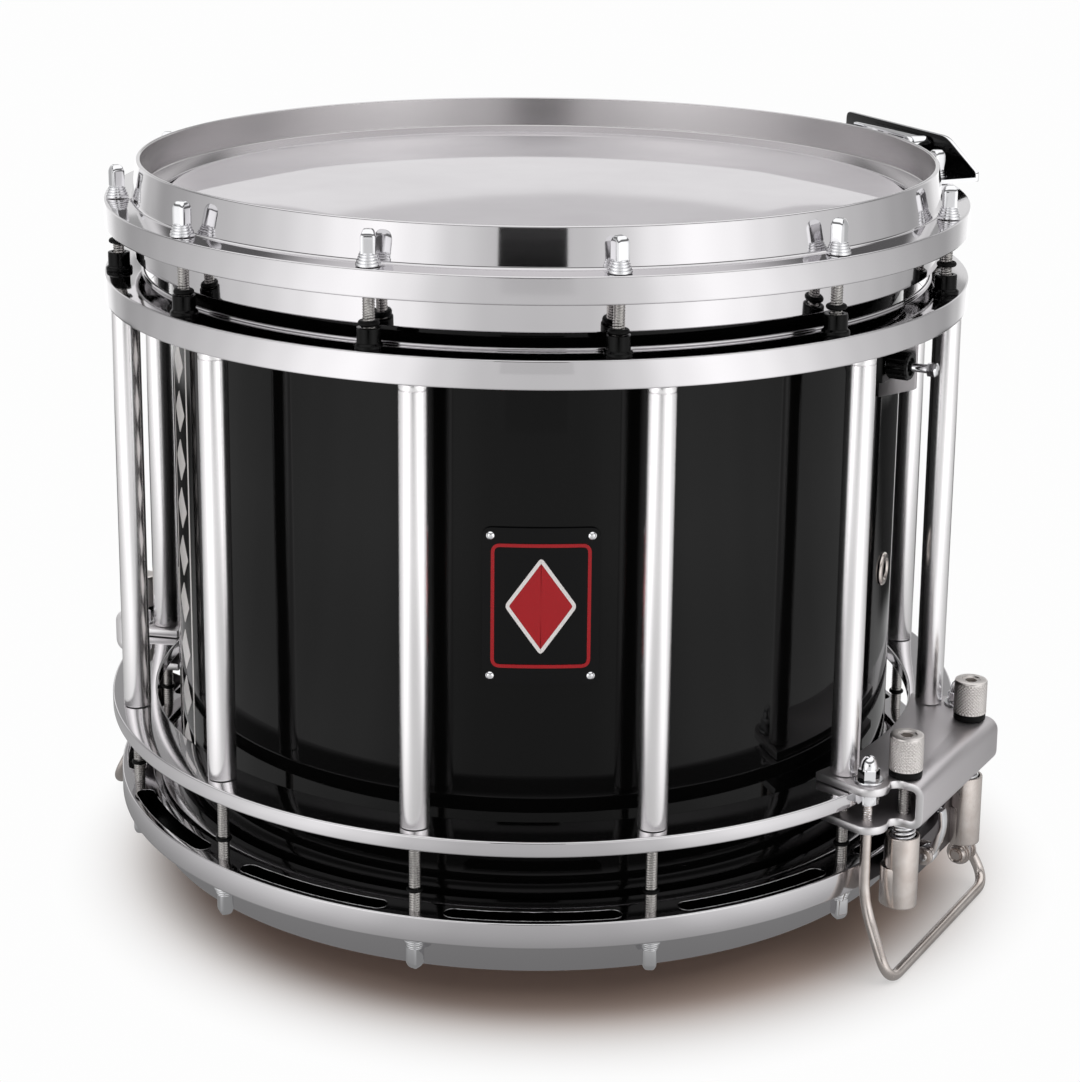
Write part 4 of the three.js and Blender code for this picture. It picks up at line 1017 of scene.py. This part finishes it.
def makeStrainer():
    s = strainer
    height, start, half = s["height"], s["start"], s["armHalf"]

    def onAxis(shape):
        return placed(outwardsR(shape), rightSide, z=height)
    left, right, tall = s["housing"]
    outline = rounded(rectangle(left, right, height - tall, height + tall), 1.2)
    housing = sheetOutwards(outline, start, s["house"] - start)
    outline = [[start + r, height + z] for r, z in s["plate"]]
    plate = sheetAcross(outline, s["plateStart"], s["plateThickness"])
    arm = block(half, -s["armOuter"], -s["armInner"], height - half, s["armTop"])
    addPiece("strainer_housing", spun(housing, rightSide), "black",
             stands=["top_snare_strainer"], bevel=0.5)
    addPiece("strainer_plate", spun(plate, rightSide), "plate", bevel=0.5)
    addPiece("strainer_shaft", onAxis(disc(*s["shaft"], 0.2)), "chrome")
    addPiece("strainer_arm", spun(arm, rightSide), "nickel", bevel=0.5)
    axle = joined(disc(*s["axle"], 0.2), hexLoft(s["tip"]))
    addPiece("strainer_axle", onAxis(axle), "chrome")
    # the knob's wall is scalloped: its radius is less by the grooves' depth where cos(12 a) > 0.55
    a, level = roundAngles(96), np.array(s["knob"], float)
    groove = s["grooveDepth"] * (np.cos(s["grooves"] * a) > s["grooveStart"])
    radius = level[:, :1] - level[:, 2:] * groove
    knobShape = surface(radius * np.cos(a), radius * np.sin(a), level[:, 1:2], True)
    addPiece("strainer_knob", onAxis(knobShape), "black", "top_snare_knob", ["top_snare_knob"])


makeStrainer()
print("top snare strainer made")


# Carrier bracket and latch

carrier = {"angle": 114.5, "floor": 332.5, "top": 351, "sheet": 2, "wallInner": 207, "near": -62, "far": 60,
           "slope": 27.5, "endHeight": 4.5, "trayInner": 191.9, "trayTurn": (-108, -72.4), "trayOverlap": 0.1,
           "boltHalf": 51.25, "boltReach": 191.25, "boltHole": 5.9}
latch = {"hinge": -18, "height": 345.2, "inner": 197, "outer": 205.5, "tip": 36, "low": 1.3, "high": 3.7,
         "eye": 4, "bore": 2, "pin": 1.6, "pinStart": 193.9, "lug": 2.3, "lugGap": 0.3}


def paintInside(sheet, towards):
    # the second material goes to the faces that look along a direction given at the bracket's angle
    normal = spun((faceValues(sheet, "normal"), None), -carrier["angle"])[0]
    paintFaces(sheet, normal @ np.array(towards) > 0.95)


def makeCarrier():
    c, angle = carrier, carrier["angle"]
    near, far, floor, end = c["near"], c["far"], c["floor"], -c["wallInner"] - c["trayOverlap"]
    wall = rounded([[near, floor], [far, floor], [far, c["top"]], [near + c["slope"], c["top"]],
                    [near, floor + c["endHeight"]]], [0.4, 0.4, 4, 5, 1.5], 5)
    sheet = addPiece("carrier_wall", spun(sheetOutwards(wall, c["wallInner"], c["sheet"]), angle),
                     ["chrome", "black"], stands=["carrier_bracket"], bevel=0.7)
    paintInside(sheet, [0, 1, 0])
    inner = arc((0, 0), c["trayInner"], *c["trayTurn"], 40)
    inner = inner[(inner[:, 0] > near + 0.5) & (inner[:, 0] < far - 0.5)]
    outline = np.vstack([inner, [[far, inner[-1, 1]], [far, end], [near, end], [near, inner[0, 1]]]])
    tray = addPiece("carrier_tray", spun(prism(outline, floor, floor + c["sheet"]), angle),
                    ["chrome", "black"])
    hole = disc(c["boltHole"], floor - 2, floor + 4)
    bored(tray, [placed(hole, angle, c["boltReach"], side * c["boltHalf"]) for side in (-1, 1)])
    paintInside(tray, [0, 0, 1])


def makeLatch():
    # its lug and pin stand on the tray, and its arm lies level from the hinge to its tip
    v, angle, eye = latch, carrier["angle"], latch["eye"]
    x, z, inner, outer = v["hinge"], v["height"], v["inner"], v["outer"]
    foot = carrier["floor"] + carrier["sheet"] - 0.1
    lug = np.vstack([[[x - eye, foot]], [[x + eye, foot]], arc((x, z), eye, 0, 180, 18)])
    addPiece("carrier_latch_lug", spun(sheetOutwards(lug, inner - v["lugGap"] - v["lug"], v["lug"]), angle),
             "chrome", bevel=0.4)
    pin = outwardsR(disc(v["pin"], v["pinStart"], carrier["wallInner"] + 0.5, 0.3))
    addPiece("carrier_latch_pin", placed(pin, angle, x=x, z=z), "chrome")
    low, high = z + v["low"], z + v["high"]
    plate = rounded(rectangle(x, v["tip"], low, high), [0.1, 0.8, 0.8, 0.1])
    barrel = moved(outwardsR(ring(v["bore"], eye, inner, outer, 0.35)), x=x, z=z)
    arm = joined(sheetOutwards(plate, inner, outer - inner), barrel)
    addPiece("carrier_latch_lever", spun(arm, angle), "chrome", "carrier_latch", ["carrier_latch"],
             bevel=0.4)


makeCarrier()
makeLatch()
print("carrier bracket and latch made")


# Badge, bare of any mark but a plain lozenge

badge = {"height": 183, "angle": 0.75, "width": 50.4, "tall": 70.3, "corner": 4.5, "base": 0.02,
         "thickness": 1.1, "frameWidth": 42.5, "frameTall": 55.6, "frameCorner": 4.2, "frameLine": 1.5,
         "frameShift": 0.3, "lozengeHalf": 15.5, "lozengeUp": 22, "lozengeCorner": 2.2, "lozengeLine": 1.6,
         "sunk": 0.1, "frameRise": 0.35, "lineRise": 0.3, "lozengeRise": 0.12,
         "screwAcross": 21.6, "screwUp": 31.4,
         "screw": [(0, 1.75), (0.7, 1.7), (1.3, 1.5), (1.75, 1.1), (1.75, 0.9), (0, 0.9)]}


def roundedRectangle(width, tall, corner, steps=8):
    w, h = width / 2, tall / 2
    return rounded(rectangle(-w, w, -h, h), corner, steps)


def lozengeOutline(half, up, corner, steps):
    return rounded([[0, -up], [half, 0], [0, up], [-half, 0]], corner, steps)


def inset(outline, by):
    # every point of a closed outline moved inwards, square to the line through its neighbours
    along = np.roll(outline, -1, 0) - np.roll(outline, 1, 0)
    along /= np.linalg.norm(along, axis=1, keepdims=True)
    return outline + by * np.stack([-along[:, 1], along[:, 0]], 1)


def wrapped(outline, inside, low, high, fill=10, middleZ=0, middleS=0):
    # a plate bent round the shell, of rings that shrink from its outline to the middle or to a line inside;
    # each point (s, z) of a ring lies at the angle s / R round the drum
    outer = spread(outline, 1.2)
    inner = inset(outer, inside) if inside else outer * 0 + np.array([middleS, middleZ])
    v = np.linspace(0, 1, fill + 1)[:, None, None]
    top = (1 - v) * outer + v * inner
    eased = outer + (inner - outer) * 0.004
    ease = min(0.25, (high - low) / 3)
    rows = np.concatenate([top[:1], top[:1], eased[None], top[1:], top[::-1]])
    height = np.array([low, high - ease, high] + [high] * fill + [low] * (fill + 1))[:, None]
    s, z = rows[..., 0], rows[..., 1]
    reach, angle = shell["radius"] + height, s / shell["radius"]
    return surface(reach * np.sin(angle), -reach * np.cos(angle), badge["height"] + z)


def makeBadge():
    b = badge
    top, shift, line = b["thickness"], np.array([0, b["frameShift"]]), b["lozengeLine"]
    sunk = top - b["sunk"]

    def put(name, outline, inside, low, high, material, fill=3):
        addPiece(name, spun(wrapped(outline, inside, low, high, fill), b["angle"]), material)
    plate = roundedRectangle(b["width"], b["tall"], b["corner"])
    put("badge_plate", plate, 0, b["base"], top, "badge", 14)
    edge = roundedRectangle(b["frameWidth"], b["frameTall"], b["frameCorner"]) + shift
    put("badge_frame", edge, b["frameLine"], sunk, top + b["frameRise"], "red")
    lozenge = lozengeOutline(b["lozengeHalf"], b["lozengeUp"], b["lozengeCorner"], 6) + shift
    put("badge_lozenge_line", lozenge, line, sunk, top + b["lineRise"], "pale")
    filled = inset(spread(lozenge, 1.2), line - 0.1)
    put("badge_lozenge", filled, 0, sunk, top + b["lozengeRise"], "red", 8)
    dome = outwardsR(moved(turned(b["screw"], 20, False), z=shell["radius"]))
    aside = math.degrees(b["screwAcross"] / shell["radius"])
    screws = [placed(dome, b["angle"] + x * aside, z=b["height"] + z * b["screwUp"])
              for x in (-1, 1) for z in (-1, 1)]
    addPiece("badge_screws", joined(*screws), "chrome")


# a painted band on the left side of the shell, where a drum can carry a name: plain lozenges and two lines
band = {"angle": -71, "low": 62, "high": 270, "count": 9, "halfWide": 9.5, "halfTall": 10.4, "corner": 1.2,
        "lines": (-13.5, 13.5), "lineWidth": 1.8, "lineOver": 4, "lineCorner": 0.8, "thickness": 0.12}


def makeBand():
    b, paint = band, (0, badge["base"], band["thickness"])
    low, high, tall = b["low"] - badge["height"], b["high"] - badge["height"], b["halfTall"]
    lozenge = lozengeOutline(b["halfWide"], tall, b["corner"], 4)
    pieces = [wrapped(lozenge + np.array([0, z]), *paint, 4, z)
              for z in np.linspace(low + tall, high - tall, b["count"])]
    middle = (low + high) / 2
    line = roundedRectangle(b["lineWidth"], high - low + 2 * b["lineOver"], b["lineCorner"], 4)
    pieces += [wrapped(line + np.array([s, middle]), *paint, 2, middle, s) for s in b["lines"]]
    addPiece("painted_band", spun(joined(*pieces), b["angle"]), "pale")


makeBadge()
makeBand()
print("badge and painted band made")


# Floor, studio and camera

# byAngle is the studio's brightness by the angle from the camera's side, in degrees, the same to both sides;
# darkBand has the sines of four heights, fade is a share of half a turn and edge is in radians
studio = {"byAngle": [(0, 0.76), (12, 0.79), (22, 0.96), (32, 1.3), (43, 1.52), (54, 1.4), (64, 1.18),
                      (75, 0.97), (85, 0.83), (96, 0.72), (106, 0.62), (116, 0.52), (126, 0.46), (136, 0.64),
                      (147, 1.08), (155, 1.26)],
          "top": 1.2, "darkBand": (0.3, 0.38, 0.54, 0.64), "dark": 0.18,
          "cardCentre": -1.3, "cardHalfAngle": 9.3, "cardFrom": 1.2, "cardTo": 14, "card": 0,
          "behindFrom": 144, "behindSplit": 9.98, "behindLow": 0.87, "behindHigh": 0.4, "archCentre": 1,
          "archBow": 1.0, "fade": 0.06, "edge": 0.0015}
floorSize = {"radii": (0, 300, 900, 3000, 9000), "below": 0.2}
# distances are from the drum's axis, in metres, and angles from the camera's side, in degrees
floorLight = {"dimEnds": (0.2, 0.3), "dim": 0.42, "halfDimEnds": (0.5, 0.95), "halfDim": 0.78,
              "evenEnds": (0.17, 0.42), "even": 0.55,
              "stripHalfAngle": 8.6, "stripStart": 1.46, "strip": 0.88, "sideFrom": 118,
              "sideEnds": (0.42, 0.5, 1.05, 1.2), "side": 0.06, "white": 0.985, "whiteEnds": (0.179, 0.251),
              "paintedShadowEnds": (0.165, 0.235), "paintedShadowColours": ("c2ab9e", "efebe9"), "shadowShift": (0.012, -0.003, 0)}


def studioLevel(tree, x, y):
    # the studio's level towards (x, y), and that direction's angle as a share of half a turn
    angle = calculated(tree, "ARCTAN2", calculated(tree, "ABSOLUTE", x), product(tree, y, -1))
    share = calculated(tree, "DIVIDE", angle, math.pi)
    ramp = addNode(tree, "ShaderNodeValToRGB", {"Fac": share})
    ramp.color_ramp.interpolation = "EASE"
    stops = ramp.color_ramp.elements
    for degrees, level in studio["byAngle"][2:]:
        stops.new(degrees / 180)
    for stop, (degrees, level) in zip(stops, studio["byAngle"]):
        stop.position, stop.color = degrees / 180, (level, level, level, 1)
    return ramp.outputs["Color"], share


def makeFloor():
    # a pale disc that shows as white to the camera and in the metal, and keeps the drum's shadow, deepened by
    # painted shadow near the drum
    floor = closedObject("floor", turned([[radius, 0] for radius in floorSize["radii"]], 96, False))
    floor.location.z = -floorSize["below"] * mm
    material = bpy.data.materials.new("paper_white_matt")
    material.use_nodes = True
    tree = material.node_tree
    tree.nodes.clear()
    f = floorLight
    place = addNode(tree, "ShaderNodeTexCoord").outputs["Object"]
    axes = addNode(tree, "ShaderNodeSeparateXYZ", {"Vector": place}).outputs
    radius = vectorLength(tree, place)
    level, share = studioLevel(tree, axes["X"], axes["Y"])
    # metal sees the studio's levels in the floor, evened near the drum and darkened there by a painted
    # shadow, and dark patches beside it towards the back
    level = mixedValues(tree, stepped(tree, radius, *f["evenEnds"]), f["even"], level)
    near = product(tree, stepped(tree, radius, *f["dimEnds"], f["dim"] / f["halfDim"], 1),
                   stepped(tree, radius, *f["halfDimEnds"], f["halfDim"], 1))
    ends, side = f["sideEnds"], f["sideFrom"] / 180
    beside = product(tree, stepped(tree, radius, *ends[:2]), stepped(tree, radius, *ends[2:], 1, 0),
                     stepped(tree, share, side, side + studio["fade"]))
    level = mixedValues(tree, beside, level, f["side"])
    strip = product(tree, calculated(tree, "LESS_THAN", share, f["stripHalfAngle"] / 180),
                    calculated(tree, "GREATER_THAN", radius, f["stripStart"]))
    seen = product(tree, level, near, mixedValues(tree, strip, 1, f["strip"]))
    ray = addNode(tree, "ShaderNodeLightPath").outputs
    # the paper's colour darkens to brown towards the drum as a painted shadow; this painted shadow, and the
    # white round it, are centred a little beside the drum
    shifted = addNode(tree, "ShaderNodeVectorMath", {0: place, 1: f["shadowShift"]}, operation="SUBTRACT")
    radius = vectorLength(tree, shifted.outputs["Vector"])
    paintedShadowTone = addNode(tree, "ShaderNodeMix", {"Factor": stepped(tree, radius, *f["paintedShadowEnds"])},
                   data_type="RGBA")
    for socket, code in zip(paintedShadowTone.inputs[6:8], f["paintedShadowColours"]):
        socket.default_value = hexColour(code)
    paper = addNode(tree, "ShaderNodeBsdfDiffuse", {"Color": paintedShadowTone.outputs[2]})
    white = addNode(tree, "ShaderNodeEmission", {"Color": (1, 1, 1, 1), "Strength": f["white"]})
    cleared = product(tree, stepped(tree, radius, *f["whiteEnds"]), ray["Is Camera Ray"])
    lit = addNode(tree, "ShaderNodeMixShader", {0: cleared, 1: paper.outputs[0], 2: white.outputs[0]})
    mirrored = addNode(tree, "ShaderNodeEmission", {"Color": (1, 1, 1, 1), "Strength": seen})
    both = addNode(tree, "ShaderNodeMixShader", {
        0: ray["Is Glossy Ray"], 1: lit.outputs[0], 2: mirrored.outputs[0]})
    addNode(tree, "ShaderNodeOutputMaterial", {"Surface": both.outputs["Shader"]})
    floor.data.materials.append(material)


def makeWorld():
    # white to the camera; metal sees two pale soft boxes in front, grey sides, a pale back and a white top
    u = studio
    world = bpy.data.worlds.new("studio")
    bpy.context.scene.world = world
    world.use_nodes = True
    tree = world.node_tree
    tree.nodes.clear()
    way = addNode(tree, "ShaderNodeTexCoord").outputs["Generated"]
    axes = addNode(tree, "ShaderNodeSeparateXYZ", {"Vector": way}).outputs
    level, share = studioLevel(tree, axes["X"], axes["Y"])
    rise = axes["Z"]

    def sine(degrees):
        return math.sin(math.radians(degrees))
    start = u["behindFrom"] / 180
    behind = stepped(tree, share, start, start + u["fade"])
    # its darker upper part starts at an arch, split + bow (azimuth - centre)^2 above the horizon
    aside = calculated(tree, "SUBTRACT", calculated(tree, "ARCTAN2", axes["X"], axes["Y"]),
                       math.radians(u["archCentre"]))
    bow = product(tree, aside, aside, u["archBow"])
    above = calculated(tree, "SUBTRACT", calculated(tree, "ARCSINE", rise), bow)
    split, edge = math.radians(u["behindSplit"]), u["edge"]
    backdrop = stepped(tree, above, split - edge, split + edge, u["behindLow"], u["behindHigh"])
    level = mixedValues(tree, behind, level, backdrop)
    dark = product(tree, stepped(tree, rise, *u["darkBand"][:2]),
                   stepped(tree, share, start - u["fade"], start, 1, 0))
    level = mixedValues(tree, dark, level, u["dark"])
    level = mixedValues(tree, stepped(tree, rise, *u["darkBand"][2:]), level, u["top"])
    # a dark card stands a little beside the middle of the front
    azimuth = calculated(tree, "ARCTAN2", axes["X"], product(tree, axes["Y"], -1))
    fromCard = calculated(tree, "SUBTRACT", azimuth, math.radians(u["cardCentre"]))
    fromCard = calculated(tree, "ABSOLUTE", fromCard)
    card = product(tree, calculated(tree, "LESS_THAN", fromCard, math.radians(u["cardHalfAngle"])),
                   calculated(tree, "GREATER_THAN", rise, sine(u["cardFrom"])),
                   calculated(tree, "LESS_THAN", rise, sine(u["cardTo"])))
    level = mixedValues(tree, card, level, u["card"])
    shown = mixedValues(tree, addNode(tree, "ShaderNodeLightPath").outputs["Is Camera Ray"], level,
                        floorLight["white"])
    back = addNode(tree, "ShaderNodeBackground", {"Color": (1, 1, 1, 1), "Strength": shown})
    addNode(tree, "ShaderNodeOutputWorld", {"Surface": back.outputs["Background"]})


# both lamps are aimed at the middle of the shell, places and sizes in metres and power in watts
lampAim = (0, 0, 0.2)
lamps = {"key": {"place": (-0.6, 0.9, 2.2), "size": 1.4, "power": 7},
         "fill": {"place": (1.2, -0.9, 2.0), "size": 1.6, "power": 3}}


def makeLamps():
    for name, lamp in lamps.items():
        light = bpy.data.lights.new(name, "AREA")
        light.shape, light.size, light.energy = "SQUARE", lamp["size"], lamp["power"]
        holder = bpy.data.objects.new(name, light)
        holder.location = lamp["place"]
        toDrum = np.array(lampAim) - np.array(lamp["place"])
        flat = math.hypot(toDrum[0], toDrum[1])
        holder.rotation_euler = (math.atan2(flat, -toDrum[2]), 0, math.atan2(-toDrum[0], toDrum[1]))
        holder.visible_glossy = False
        bpy.context.scene.collection.objects.link(holder)


# the camera stands in front and a little above, and turns round the drum's axis by its azimuth
camera = {"focalShare": 2565.9 / 1082, "distance": 1209.6, "height": 543.1, "pitch": 14.36, "roll": 0.545,
          "azimuth": -0.25, "yaw": -0.085, "aside": 0.3, "shift": -0.14}


def makeCamera():
    c = camera
    lens = bpy.data.cameras.new("camera")
    lens.sensor_fit, lens.sensor_width = "AUTO", 36
    lens.lens = c["focalShare"] * lens.sensor_width
    lens.shift_y = c["shift"]
    lens.clip_start, lens.clip_end = 0.05, 60
    holder = bpy.data.objects.new("camera", lens)
    turn = math.radians(c["azimuth"])
    x, y = c["aside"] * mm, -c["distance"] * mm
    holder.location = (x * math.cos(turn) - y * math.sin(turn), x * math.sin(turn) + y * math.cos(turn),
                       c["height"] * mm)
    # rolled about its own axis, then tilted about x, then turned about z, as a quaternion w, x, y, z
    turn, roll = turn + math.radians(c["yaw"]), math.radians(c["roll"])
    tilt, both, between = math.radians(90 - c["pitch"]) / 2, (turn + roll) / 2, (turn - roll) / 2
    holder.rotation_mode = "QUATERNION"
    holder.rotation_quaternion = (math.cos(tilt) * math.cos(both), math.sin(tilt) * math.cos(between),
                                  math.sin(tilt) * math.sin(between), math.cos(tilt) * math.sin(both))
    bpy.context.scene.collection.objects.link(holder)
    bpy.context.scene.camera = holder


makeFloor()
makeWorld()
makeLamps()
makeCamera()
bpy.context.scene.view_settings.view_transform = "Standard"
print("studio ready")
